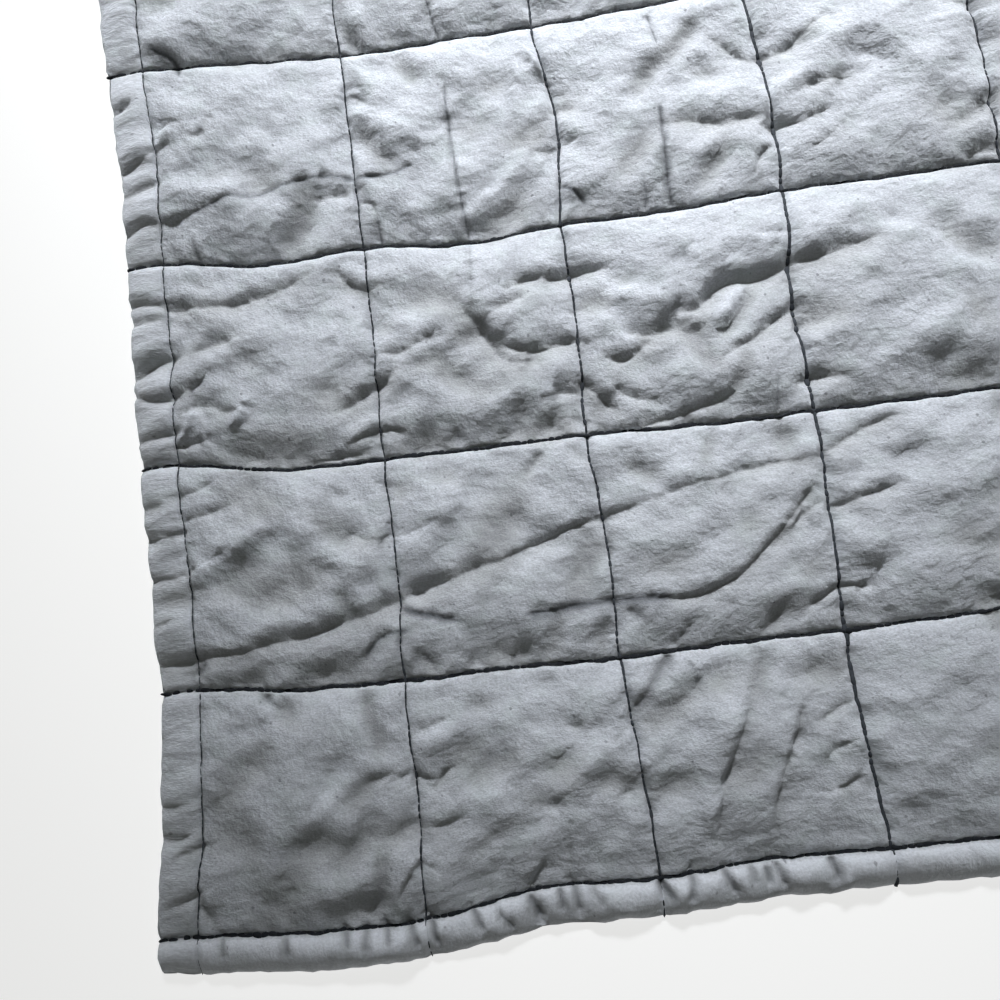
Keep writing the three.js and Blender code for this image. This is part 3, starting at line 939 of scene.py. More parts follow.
    (((200.5, 3), (203, -2), (207, -8)), 3.5, 2.2, 2.2, SOFT),
    (((215.5, 5), (215, -1), (213, -9)), 3.4, 1.8, 1.8, SOFT),
    (((229, 4), (231, -2), (233.5, -8)), 4, 1.8, 1.8, SOFT),
    (((240, 4), (241, 0), (242, -5)), 2.6, 1.8, 1.8, SOFT),
    (((247, 3), (247.5, -1), (248, -6)), 3, 1.8, 1.8, SOFT),
    (((251, 4), (253, -1), (255, -7)), 2.6, 2, 2, SOFT),
    (((275, 4), (276, -1), (277.5, -6)), 3, 2, 2, SOFT),
)

CREASES = tuple(Crease(*row) for row in CORNER_CREASES)


# The squares of the near left corner, across and deep, and how far its creases reach, in millimetres
CORNER_SQUARES = (3, 4)
CORNER_REACH = (345.0, 425.0)


def spread_over(creases: tuple[Crease, ...]) -> tuple[Crease, ...]:
    """Carries the corner's creases over the rest of the quilt.

    One copy is turned to the far right corner. The others move beside the corner and beyond it, one
    square further on, and those that would leave its squares go back to their beginning.

    Args:
        creases: the creases of the near left corner.

    Returns:
        The copies that lie wholly outside the corner.
    """
    square = PATTERN.square
    last_column, last_row = (count - 1 for count in CORNER_SQUARES)
    beside, beyond = (count * square for count in CORNER_SQUARES)
    copies = []
    for crease in creases:
        left, near = np.array(crease.points).min(axis=0)
        column = 1 if left < last_column * square else -last_column
        row = 1 if near < last_row * square else -last_row
        copies.append(crease.carried((PATTERN.width, PATTERN.depth), turned=True))
        copies.append(crease.carried((beside, row * square)))
        copies.append(crease.carried((column * square, beyond)))
    return tuple(
        copy
        for copy in copies
        if min(x for x, _ in copy.points) > CORNER_REACH[0]
        or min(y for _, y in copy.points) > CORNER_REACH[1]
    )


REST_CREASES = spread_over(CREASES)


@dataclass(frozen=True)
class GridLines:
    """Places of the lines of a grid laid over the flat cloth in one direction."""

    places: Array
    starts: Array
    crowded_strips: ClassVar[float] = 3.5

    @classmethod
    def laid(cls, squares: list[int], margin: int, crowding: float) -> "GridLines":
        """Divides the squares and both margins.

        Args:
            squares: how many strips each square is divided into.
            margin: how many strips each margin is divided into.
            crowding: how much narrower the strips beside a seam are, from 0 to 1.

        Returns:
            The grid's lines, with the numbers of those that lie on sewn lines or outer edges.
        """
        square = PATTERN.square
        places = [np.linspace(-PATTERN.margin, 0, margin + 1)]
        for number, strips in enumerate(squares):
            order = np.arange(strips)
            from_seam = np.minimum(order, strips - 1 - order)
            widths = 1 - crowding * bell(from_seam, cls.crowded_strips)
            places.append((number + np.cumsum(widths) / widths.sum()) * square)
        far = len(squares) * square
        places.append(far + np.linspace(0, PATTERN.margin, margin + 1)[1:])
        starts = np.cumsum([0, margin, *squares, margin])
        return cls(np.concatenate(places), starts)

    def weights_at(self, wanted: Array) -> tuple[Array, Array]:
        """Weights for a smooth curve through values on this grid's lines, sharp at every seam.

        Args:
            wanted: the places where the values are wanted.

        Returns:
            The numbers of four lines for each place, and their four weights.
        """
        at = np.interp(wanted, self.places, np.arange(len(self.places)))
        start = np.clip(np.floor(at).astype(int), 0, len(self.places) - 2)
        share = at - start
        square = share * share
        cube = square * share
        before = (-share + 2 * square - cube) / 2
        here = (2 - 5 * square + 3 * cube) / 2
        there = (share + 4 * square - 3 * cube) / 2
        after = (cube - square) / 2
        at_seam = np.isin(start, self.starts)
        to_seam = np.isin(start + 1, self.starts)
        here = here + np.where(at_seam, 2 * before, 0)
        there = there - np.where(at_seam, before, 0)
        before = np.where(at_seam, 0, before)
        there = there + np.where(to_seam, 2 * after, 0)
        here = here - np.where(to_seam, after, 0)
        after = np.where(to_seam, 0, after)
        lines = start[:, None] + np.arange(-1, 3)
        return np.clip(lines, 0, len(self.places) - 1), np.stack([before, here, there, after], 1)


def mesh_of(bm: bmesh.types.BMesh, name: str) -> bpy.types.Mesh:
    """Turns a bmesh into a new mesh and frees it.

    Args:
        bm: the bmesh.
        name: the new mesh's name.

    Returns:
        The mesh.
    """
    mesh = bpy.data.meshes.new(name)
    bm.to_mesh(mesh)
    bm.free()
    return mesh


def new_object(mesh: bpy.types.Mesh, smooth: bool = False) -> bpy.types.Object:
    """Links a new object that shows a mesh and has its name.

    Args:
        mesh: the mesh.
        smooth: whether its faces are shaded smoothly.

    Returns:
        The object, at the origin.
    """
    if smooth:
        mesh.polygons.foreach_set("use_smooth", np.ones(len(mesh.polygons), bool))
    made = bpy.data.objects.new(mesh.name, mesh)
    bpy.context.scene.collection.objects.link(made)
    return made


def points_of(mesh: bpy.types.Mesh) -> Array:
    """The places of a mesh's points, one row each."""
    points = np.zeros(len(mesh.vertices) * 3)
    mesh.vertices.foreach_get("co", points)
    return points.reshape(-1, 3)


def numbers_in(points: Array, columns: int, rows: int) -> tuple[Array, Array]:
    """The column and the row of each point of a fresh grid from -1 to 1.

    Args:
        points: the grid's points, one row each.
        columns: how many lines the grid has across.
        rows: how many it has the other way.

    Returns:
        The numbers of each point's column and row.
    """
    column = np.rint((points[:, 0] + 1) / 2 * (columns - 1)).astype(int)
    row = np.rint((points[:, 1] + 1) / 2 * (rows - 1)).astype(int)
    return column, row


def framed(places: Array) -> Array:
    """Carries places into the frame.

    Args:
        places: the places in millimetres from the near left crossing, one row each.

    Returns:
        The places in metres.
    """
    low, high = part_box("quilt")
    moved = places * MM
    moved[:, 0] += (high[0] + low[0]) / 2 - PATTERN.width / 2 * MM
    moved[:, 1] += (high[1] + low[1]) / 2 - PATTERN.depth / 2 * MM
    return moved


@dataclass
class FilledFace:
    """The face of the quilt, swollen by its filling between the pinned sewn lines."""

    square_strips: int = 25
    margin_strips: int = 6
    frames: int = 20
    furthest: float = 7.0
    share: float = 0.2
    growth: float = 0.06
    slant: float = 0.08
    turn_middle: float = -0.8
    turn_spread: float = 0.7
    turn_steps: Pair = (1.7, 2.9)
    pressure: float = 0.6
    bending: float = 0.4
    stiffness: float = 15.0
    shear: float = 5.0
    mass: float = 0.3
    quality: int = 5
    first_lumps: tuple[Lumps, ...] = (Lumps(0.6, (21, 21), 11), Lumps(0.5, (9, 9), 12))
    columns: GridLines = field(init=False)
    rows: GridLines = field(init=False)
    moved: Array = field(init=False)

    def __post_init__(self) -> None:
        """Lays the grid that is simulated and fills it."""
        squares_across = [self.square_strips] * PATTERN.squares_across
        squares_deep = [self.square_strips] * PATTERN.squares_deep
        self.columns = GridLines.laid(squares_across, self.margin_strips, 0)
        self.rows = GridLines.laid(squares_deep, self.margin_strips, 0)
        self.moved = self.swollen()

    def swollen(self) -> Array:
        """Runs the cloth simulation on a sheet of the grid.

        Returns:
            How far the filling moves the grid's points, in millimetres, by row, column and axis.
        """
        columns = self.columns.places
        rows = self.rows.places
        bm = bmesh.new()
        bmesh.ops.create_grid(bm, x_segments=len(columns) - 1, y_segments=len(rows) - 1, size=1)
        mesh = mesh_of(bm, "filled_face")
        column_of, row_of = numbers_in(points_of(mesh), len(columns), len(rows))
        across = columns[column_of]
        deep = rows[row_of]
        x, y = PATTERN.place(across, deep)
        flat = np.stack([x, y, PATTERN.height(across, deep)], 1)
        start = flat.copy()
        start[:, 2] += PATTERN.fullness(across, deep) * lumpy(self.first_lumps, across, deep)
        mesh.vertices.foreach_set("co", (start * MM).ravel())
        mesh.update()
        sheet = new_object(mesh)
        pinned = np.isin(column_of, self.columns.starts) | np.isin(row_of, self.rows.starts)
        group = sheet.vertex_groups.new(name="sewn")
        group.add([int(number) for number in np.flatnonzero(pinned)], 1.0, "REPLACE")
        filled = self.simulated(sheet, start + self.slack(across, deep)) / MM
        bpy.data.objects.remove(sheet)
        moved = filled - start
        length = np.maximum(np.linalg.norm(moved, axis=1, keepdims=True), TINY)
        moved *= np.minimum(1, self.furthest / length)
        grid = np.zeros((len(rows), len(columns), 3))
        grid[row_of, column_of] = self.share * (moved + start - flat)
        return grid

    def slack(self, across: Array, deep: Array) -> Array:
        """How far the cloth as it was cut lies from the sheet's start, slack along a slant.

        Args:
            across: places along the near edge, in millimetres.
            deep: places away from it.

        Returns:
            The distances in millimetres, one row each.
        """
        square = PATTERN.square
        column = np.floor(across / square)
        row = np.floor(deep / square)
        steps = self.turn_steps[0] * column + self.turn_steps[1] * row
        turn = self.turn_middle + self.turn_spread * np.sin(steps)
        from_x = across - (column + 0.5) * square
        from_y = deep - (row + 0.5) * square
        off = from_x * np.cos(turn) + from_y * np.sin(turn)
        inner = np.abs(np.cos(math.pi * from_x / square) * np.cos(math.pi * from_y / square))
        move = self.slant * off * np.sqrt(inner)
        move *= PATTERN.over_margin(across, PATTERN.width) == 0
        move *= PATTERN.over_margin(deep, PATTERN.depth) == 0
        return np.stack([move * np.cos(turn), move * np.sin(turn), np.zeros(len(move))], 1)

    def simulated(self, sheet: bpy.types.Object, cut: Array) -> Array:
        """Fills the sheet with Blender's cloth simulation, held at its sewn points.

        Args:
            sheet: the sheet's object, with its pinned points in the group named sewn.
            cut: the places of its points as the cloth was cut, in millimetres.

        Returns:
            The places of the sheet's points in metres.
        """
        sheet.shape_key_add(name="start")
        sheet.shape_key_add(name="cut").data.foreach_set("co", (cut * MM).ravel())
        cloth = sheet.modifiers.new("filling", "CLOTH")
        settings = cloth.settings
        settings.rest_shape_key = sheet.data.shape_keys.key_blocks["cut"]
        settings.quality = self.quality
        settings.mass = self.mass
        settings.tension_stiffness = self.stiffness
        settings.compression_stiffness = self.stiffness
        settings.shear_stiffness = self.shear
        settings.bending_stiffness = self.bending
        settings.vertex_group_mass = "sewn"
        settings.use_pressure = True
        settings.uniform_pressure_force = self.pressure
        settings.shrink_min = -self.growth
        settings.effector_weights.gravity = 0
        cloth.collision_settings.use_collision = False
        cloth.point_cache.frame_start = 1
        cloth.point_cache.frame_end = self.frames + 1
        for number in range(1, self.frames + 1):
            bpy.context.scene.frame_set(number)
        graph = bpy.context.evaluated_depsgraph_get()
        filled = points_of(sheet.evaluated_get(graph).data)
        bpy.context.scene.frame_set(1)
        return filled

    def moved_at(self, across: Array, deep: Array) -> Array:
        """How far the filling moves points of the flat cloth.

        Args:
            across: the points' places along the near edge, in millimetres.
            deep: their places away from it.

        Returns:
            The moves in millimetres, one row each.
        """
        columns, column_weights = self.columns.weights_at(across)
        rows, row_weights = self.rows.weights_at(deep)
        picked = self.moved[rows[:, :, None], columns[:, None, :]]
        return np.einsum("ni,nj,nijk->nk", row_weights, column_weights, picked)


@dataclass
class ClothSurface:
    """The finished surfaces of the quilt, as places of the points of its flat cloth.

    In every method across and deep are the points' places along the near edge of the flat cloth and
    away from it, in millimetres.
    """

    filled: FilledFace = field(default_factory=FilledFace)
    crevice_depth: float = 1.5
    crevice_width: float = 1.6
    crevice_lip: float = 0.7
    crevice_lumps: tuple[Lumps, ...] = (Lumps(0.45, (14, 300), 35), Lumps(0.15, (6, 300), 36))
    least_crevice: float = 0.3
    side_crevice_width: float = 0.5
    thread_room: float = 0.4
    pucker_depth: float = 1.5
    pucker_reach: float = 7.0
    pucker_start: float = 2.0
    across_lumps: tuple[Lumps, ...] = (Lumps(0.9, (5, 30), 31, (0.25, 0)), Lumps(0.9, (11, 30), 32))
    deep_lumps: tuple[Lumps, ...] = (
        Lumps(0.7, (26, 6), 33, (0, 0.5)),
        Lumps(0.8, (30, 12), 34, (0, -0.4)),
    )
    patches: Lumps = Lumps(1.1, (34, 60), 38)
    patch_limits: Pair = (0.3, 2.0)
    far_pucker: float = 1.2
    near_pucker: float = 0.8
    side_pucker: float = 0.8
    deepest: float = 5.0
    seam_hold: float = 0.8
    seam_hold_width: float = 1.5
    least_height: float = 1.2
    # Painted shade: the crease depth that takes it fully, its share beside the seams, its reach on their
    # far side and its streaks
    fullest_shade_depth: float = 2.6
    seam_painted_shade: float = 0.65
    seam_shade: float = 6.0
    shade_streaks: tuple[Lumps, ...] = (Lumps(1.5, (5, 26), 39, (0.3, 0)), Lumps(0.8, (13, 40), 40))
    shade_streak_limits: Pair = (0.1, 2.4)
    # Painted highlight on the top of the turned margin: how far over it the highlight is full, and its
    # share on the sides
    highlight_from: float = 0.12
    side_highlight: float = 0.5
    back_groove: float = 0.9
    back_groove_width: float = 4.0
    back_inset: float = 7.0

    def puckers(self, across: Array, deep: Array) -> Array:
        """How high the small puckers are that the thread gathers on both sides of every seam.

        Args:
            across: the points' places along the near edge of the flat cloth.
            deep: their places away from it.

        Returns:
            The height at each point, in millimetres.
        """
        patchy = np.clip(1 + self.patches.at(across, deep), *self.patch_limits)
        share = np.where(PATTERN.beyond_seam(deep), self.far_pucker * patchy, self.near_pucker)
        beside_across = lumpy(self.across_lumps, across, deep) * share
        beside_deep = self.side_pucker * lumpy(self.deep_lumps, across, deep)
        near_across = self.gathered(PATTERN.seam_distance(deep, PATTERN.depth))
        near_deep = self.gathered(PATTERN.seam_distance(across, PATTERN.width))
        return self.pucker_depth * (beside_across * near_across + beside_deep * near_deep)

    def gathered(self, away: Array) -> Array:
        """How strongly the thread gathers the cloth at each distance from its seam."""
        return (1 - np.exp(-away / self.pucker_start)) * np.exp(-away / self.pucker_reach)

    def crevice(self, across: Array, deep: Array) -> Array:
        """How deep the lines sewn across draw the face in, wider and unevenly on their far side.

        Args:
            across: the points' places along the near edge of the flat cloth.
            deep: their places away from it.

        Returns:
            The depth at each point, in millimetres.
        """
        away = PATTERN.seam_distance(deep, PATTERN.depth)
        uneven = np.maximum(1 + lumpy(self.crevice_lumps, across, deep), self.least_crevice)
        far = np.clip(1 - away / (self.crevice_width * uneven), 0, 1)
        near = bell(away, self.crevice_lip)
        return self.crevice_depth * np.where(PATTERN.beyond_seam(deep), far, near)

    def side_crevice(self, across: Array) -> Array:
        """How deep the lines sewn away from the near edge draw the face in, each in its own way.

        Args:
            across: the points' places along the near edge of the flat cloth.

        Returns:
            The depth at each point, in millimetres.
        """
        line = np.clip(np.rint(across / PATTERN.square), 0, PATTERN.squares_across).astype(int)
        width = self.side_crevice_width + self.thread_room * np.array(SIDE_THREAD)[line]
        return np.array(SIDE_PULL)[line] * bell(PATTERN.seam_distance(across, PATTERN.width), width)

    def creased(self, x: Array, y: Array) -> Array:
        """How deep all the creases together are at points of the face.

        Args:
            x: places to the right of the near left crossing.
            y: places away from the near edge.

        Returns:
            The depth at each point, in millimetres.
        """
        total = sum(crease.depth_at(x, y) for crease in CREASES + REST_CREASES)
        return self.deepest * np.tanh(total / self.deepest)

    def face(self, across: Array, deep: Array) -> Array:
        """Where points of the face lie.

        Args:
            across: the points' places along the near edge of the flat cloth.
            deep: their places away from it.

        Returns:
            Their places in millimetres from the near left crossing, one row each.
        """
        x, y = PATTERN.place(across, deep)
        z = PATTERN.height(across, deep)
        places = np.stack([x, y, z], 1) + self.filled.moved_at(across, deep)
        upper = PATTERN.upper(across, deep)
        crumple = sum(facets.height_at(across, deep) for facets in FACETS)
        change = self.puckers(across, deep) + crumple * PATTERN.fullness(across, deep)
        away = PATTERN.seam_distance(deep, PATTERN.depth)
        held = 1 - self.seam_hold * bell(away, self.seam_hold_width)
        change -= self.creased(x, y) * held
        change -= np.maximum(self.crevice(across, deep), self.side_crevice(across))
        places[:, 2] = np.maximum(places[:, 2] + change * upper, self.least_height * upper)
        return places

    def hollow_shade(self, across: Array, deep: Array) -> Array:
        """How much painted shade points take in a crease, beside a sewn line and where the margin turns
        under.

        Args:
            across: the points' places along the near edge of the flat cloth.
            deep: their places away from it.

        Returns:
            The amount for each point, from 0 to 1.
        """
        x, y = PATTERN.place(across, deep)
        away = PATTERN.seam_distance(deep, PATTERN.depth)
        # painted shade in streaks on the far side of each line sewn across, narrow on its near side
        shade_streaks = np.clip(1 + lumpy(self.shade_streaks, across, deep), *self.shade_streak_limits)
        far = shade_streaks * np.exp(-away / self.seam_shade)
        seam = np.where(PATTERN.beyond_seam(deep), far, np.exp(-away))
        # painted shade under the turned margin, where it turns away from the light
        turned_under_shade = 1 - PATTERN.upper(across, deep)
        return np.clip(self.creased(x, y) / self.fullest_shade_depth + self.seam_painted_shade * seam + turned_under_shade, 0, 1)

    def line(self, across: Array, deep: Array) -> Array:
        """How much points lie in the shade of their crease's own walls.

        Args:
            across: the points' places along the near edge of the flat cloth.
            deep: their places away from it.

        Returns:
            The amount for each point, from 0 to 1.
        """
        x, y = PATTERN.place(across, deep)
        shade = sum(crease.depth_at(x, y) * crease.shade() for crease in CREASES if crease.strength > 0)
        return np.clip(shade, 0, 1)

    def margin_highlight(self, across: Array, deep: Array) -> Array:
        """How much painted highlight pales the top of the turned margin.

        Args:
            across: the points' places along the near edge of the flat cloth.
            deep: their places away from it.

        Returns:
            The amount for each point, from 0 to 1.
        """
        over_x = np.abs(PATTERN.over_margin(across, PATTERN.width))
        over_y = np.abs(PATTERN.over_margin(deep, PATTERN.depth))
        ends = np.clip(over_y / self.highlight_from, 0, 1)
        sides = self.side_highlight * np.clip(over_x / self.highlight_from, 0, 1)
        return np.maximum(ends, sides) * PATTERN.upper(across, deep)

    def back(self, across: Array, deep: Array) -> Array:
        """Where points of the underside lie, flat but for its shallow sewn grooves.

        Args:
            across: the points' places along the near edge of the flat cloth.
            deep: their places away from it.

        Returns:
            Their places in millimetres from the near left crossing, one row each.
        """
        drawn_x = across - self.back_inset * PATTERN.over_margin(across, PATTERN.width)
        drawn_y = deep - self.back_inset * PATTERN.over_margin(deep, PATTERN.depth)
        x = drawn_x + PATTERN.stray(PATTERN.deep_stray, across, deep)
        y = drawn_y + PATTERN.stray(PATTERN.across_stray, deep, across)
        from_across = PATTERN.seam_distance(deep, PATTERN.depth)
        from_deep = PATTERN.seam_distance(across, PATTERN.width)
        z = self.back_groove * bell(np.minimum(from_across, from_deep), self.back_groove_width)
        return np.stack([x, y, z], 1)


@dataclass
class QuiltBody:
    """The padded body of the quilt: its filled face, its turned margin and its back, as one piece."""

    surface: ClothSurface
    column_strips: tuple[int, ...] = (37, 37, 37, 28, 20, 20)
    row_strips: tuple[int, ...] = (37, 37, 37, 37, 24, 20, 20, 20)
    margin_strips: int = 9
    crowding: float = 0.9
    back_step: int = 3
    crisp_width: float = 3.0
    refined_bands: Pair = (3.6, 1.6)
    rim_kept: float = 2.5
    seam_band: float = 2.6
    longest: float = 1.5
    level_enough: float = 1e-6
    columns: GridLines = field(init=False)
    rows: GridLines = field(init=False)

    def __post_init__(self) -> None:
        """Lays the fine grid of the face."""
        self.columns = GridLines.laid(list(self.column_strips), self.margin_strips, self.crowding)
        self.rows = GridLines.laid(list(self.row_strips), self.margin_strips, self.crowding)

    def flat_sheet(self, step: int) -> bmesh.types.BMesh:
        """Lays a flat sheet of the cloth, in millimetres.

        Args:
            step: how many of the grid's strips make one of the sheet's.

        Returns:
            The sheet.
        """
        columns = self.columns.places[::step]
        rows = self.rows.places[::step]
        bm = bmesh.new()
        bmesh.ops.create_grid(bm, x_segments=len(columns) - 1, y_segments=len(rows) - 1, size=1)
        points = np.array([vert.co for vert in bm.verts])
        for vert, column, row in zip(bm.verts, *numbers_in(points, len(columns), len(rows))):
            vert.co = (columns[column], rows[row], 0)
        return bm

    def refine(self, bm: bmesh.types.BMesh) -> None:
        """Divides the flat sheet beside the crisp creases, again close to them, and beside seams.

        Args:
            bm: the mesh with the flat sheet.
        """
        crisp = [
            crease
            for crease in CREASES
            if crease.fold is Fold.ROLLED or crease.near < self.crisp_width
        ]
        inner = PATTERN.margin - self.rim_kept
        for band in self.refined_bands:
            across, deep = np.array([vert.co[:2] for vert in bm.verts]).T
            x, y = PATTERN.place(across, deep)
            close = np.zeros(len(x), bool)
            for crease in crisp:
                close |= crease.follows(x, y, band)
            close &= (across > -inner) & (across < PATTERN.width + inner)
            close &= (deep > -inner) & (deep < PATTERN.depth + inner)
            bm.verts.index_update()
            edges = [
                edge for edge in bm.edges if close[edge.verts[0].index] and close[edge.verts[1].index]
            ]
            bmesh.ops.subdivide_edges(bm, edges=edges, cuts=1, use_grid_fill=True)
        beside = [edge for edge in bm.edges if self.beside_seam(edge)]
        bmesh.ops.subdivide_edges(bm, edges=beside, cuts=1, use_grid_fill=True)

    def beside_seam(self, edge: bmesh.types.BMEdge) -> bool:
        """Whether an edge runs along a line sewn across, close beside it, and is long.

        Args:
            edge: an edge of the flat sheet.

        Returns:
            True where the edge is to be divided.
        """
        start, end = (vert.co for vert in edge.verts)
        away = PATTERN.seam_distance(np.array([start.y]), PATTERN.depth)[0]
        level = abs(start.y - end.y) < self.level_enough
        inner = 0 <= min(start.x, end.x) and max(start.x, end.x) <= PATTERN.width
        return level and inner and away < self.seam_band and abs(start.x - end.x) > self.longest

    def add_back(self, bm: bmesh.types.BMesh) -> set[bmesh.types.BMVert]:
        """Lays the coarser sheet of the back under the face, with as many points on its rim.

        Args:
            bm: the mesh with the flat sheet of the face.

        Returns:
            The points of the back.
        """
        back = self.flat_sheet(self.back_step)
        bmesh.ops.reverse_faces(back, faces=back.faces)
        rim = [edge for edge in back.edges if edge.is_boundary]
        bmesh.ops.subdivide_edges(back, edges=rim, cuts=self.back_step - 1)
        mesh = mesh_of(back, "back")
        face_verts = set(bm.verts)
        bm.from_mesh(mesh)
        bpy.data.meshes.remove(mesh)
        return set(bm.verts) - face_verts

    def shape(self, bm: bmesh.types.BMesh, back: set[bmesh.types.BMVert]) -> None:
        """Moves the flat sheets' points to their places on the quilt, and marks where shade, shadow and a
        highlight are painted.

        Args:
            bm: the mesh with both flat sheets.
            back: the points of the back.
        """
        across, deep = np.array([vert.co[:2] for vert in bm.verts]).T
        under = np.array([vert in back for vert in bm.verts])
        places = np.zeros((len(across), 3))
        places[~under] = self.surface.face(across[~under], deep[~under])
        places[under] = self.surface.back(across[under], deep[under])
        for vert, place in zip(bm.verts, framed(places)):
            vert.co = place
        # amounts of painted shade, painted shadow of crease walls and painted highlight, for each point
        for name, amount_at in (
            ("hollow_shade", self.surface.hollow_shade),
            ("line", self.surface.line),
            ("margin_highlight", self.surface.margin_highlight),
        ):
            layer = bm.verts.layers.float.new(name)
            for vert, amount in zip(bm.verts, amount_at(across, deep)):
                vert[layer] = amount

    def close(self, bm: bmesh.types.BMesh, back: set[bmesh.types.BMVert]) -> None:
        """Joins the face to the back round the rim, with clean faces that point outwards.

        Args:
            bm: the mesh with both shaped sheets.
            back: the points of the back.
        """
        rim = [edge for edge in bm.edges if edge.is_boundary]
        face_edges = [edge for edge in rim if edge.verts[0] not in back]
        back_edges = [edge for edge in rim if edge.verts[0] in back]
        bmesh.ops.bridge_loops(bm, edges=face_edges + back_edges)
        needless = [vert for vert in bm.verts if len(vert.link_edges) == 2]
        bmesh.ops.dissolve_verts(bm, verts=needless)
        odd = [face for face in bm.faces if len(face.verts) > 4]
        bmesh.ops.triangulate(bm, faces=odd)
        bmesh.ops.recalc_face_normals(bm, faces=bm.faces)
        if bm.calc_volume(signed=True) < 0:
            bmesh.ops.reverse_faces(bm, faces=bm.faces)

    def map_cloth(self, bm: bmesh.types.BMesh) -> None:
        """Keeps each point's place on the flat cloth as the mesh's map, in metres of cloth.

        Args:
            bm: the mesh with the flat sheets.
        """
        layer = bm.loops.layers.uv.new("cloth")
        for face in bm.faces:
            for loop in face.loops:
                loop[layer].uv = (loop.vert.co.x * MM, loop.vert.co.y * MM)

    def build(self) -> bpy.types.Object:
        """Builds the whole body as one closed mesh that keeps the flat cloth as its map.

        Returns:
            The quilt's object, at the origin.
        """
        bm = self.flat_sheet(1)
        self.refine(bm)
        back = self.add_back(bm)
        self.map_cloth(bm)
        self.shape(bm, back)
        self.close(bm, back)
        return new_object(mesh_of(bm, "quilted_body"), smooth=True)


@dataclass(frozen=True)
class StitchSize:
    """The size of one running stitch, in millimetres, and how many faces go around it."""

    pitch: float
    length: float
    width: float
    height: float
    rise: float
    unevenness: float = 0.0
    wander: float = 0.0
    around: int = 6


TIGHT = StitchSize(pitch=3.4, length=4.6, width=2.4, height=1.4, rise=0.75, unevenness=0.35, wander=0.45)
EASY = StitchSize(pitch=3.4, length=4.3, width=0.8, height=0.8, rise=0.35, unevenness=0.35, wander=0.2)
UNDER = StitchSize(pitch=3.4, length=2.6, width=0.6, height=0.4, rise=0.1, around=4)


@dataclass
class SewnThread:
    """The running stitches of all the lines that run one way, on one side of the quilt."""

    surface: ClothSurface
    size: StitchSize
    side: Side
    across: bool
    hem: float = 1.5
    sunk: float = 0.5
    seed: int = 71

    def stitch(self) -> bpy.types.Mesh:
        """One stitch along X as a long bead.

        Returns:
            Its mesh, in metres.
        """
        bm = bmesh.new()
        around = self.size.around
        bmesh.ops.create_uvsphere(bm, u_segments=around, v_segments=around - 1, radius=0.5)
        turn = Matrix.Rotation(math.pi / 2, 3, "Y")
        bmesh.ops.rotate(bm, cent=(0, 0, 0), matrix=turn, verts=bm.verts)
        size = Vector((self.size.length, self.size.width, self.size.height)) * MM
        bmesh.ops.scale(bm, vec=size, verts=bm.verts)
        return mesh_of(bm, "stitch")

    def line_places(self, line: int) -> Array:
        """The places of the needle holes of one line.

        Args:
            line: the line's number, from the near or the left one.

        Returns:
            The places in metres, one row each.
        """
        length = PATTERN.width if self.across else PATTERN.depth
        over = PATTERN.margin - self.hem
        count = round((length + 2 * over) / self.size.pitch)
        along = np.linspace(-over, length + over, count + 1)
        random = np.random.default_rng(line)
        fixed = line * PATTERN.square + random.uniform(-self.size.wander, self.size.wander, len(along))
        flat = (along, fixed) if self.across else (fixed, along)
        if self.side is Side.BACK:
            places = self.surface.back(*flat)
            places[:, 2] -= self.size.rise
            return framed(places)
        places = self.surface.face(*flat)
        past = (along < 0) | (along > length)
        places[:, 2] += self.size.rise - np.where(past & (not self.across), self.sunk, 0)
        return framed(places)

    def build(self, name: str) -> bpy.types.Object:
        """Sews all the lines as one mesh of single stitches.

        Args:
            name: the new object's name.

        Returns:
            The thread's object, at the origin.
        """
        stitch = self.stitch()
        bm = bmesh.new()
        random = np.random.default_rng(self.seed)
        lines = PATTERN.squares_deep if self.across else PATTERN.squares_across
        for line in range(lines + 1):
            holes = self.line_places(line)
            thick = 1.0 if self.across or self.side is Side.BACK else SIDE_THREAD[line]
            for start, end in zip(holes, holes[1:]):
                way = Vector(end - start)
                placed = Matrix.Translation(Vector(start + end) / 2)
                placed @= way.to_track_quat("X", "Z").to_matrix().to_4x4()
                uneven = 1 + self.size.unevenness * random.uniform(-1, 1, 3)
                placed @= Matrix.Diagonal((uneven[0], thick * uneven[1], uneven[2], 1))
                copy = stitch.copy()
                copy.transform(placed)
                bm.from_mesh(copy)
                bpy.data.meshes.remove(copy)
        bpy.data.meshes.remove(stitch)
        return new_object(mesh_of(bm, name), smooth=True)


@dataclass(frozen=True)
class Grain:
    """A noise over the flat cloth.

    Its lumps lie pitch millimetres apart across and deep, with detail finer layers in them. Where it
    presses the surface in, depth says how far, in millimetres.
    """

    pitch: Pair
    detail: float
    depth: float = 0.0


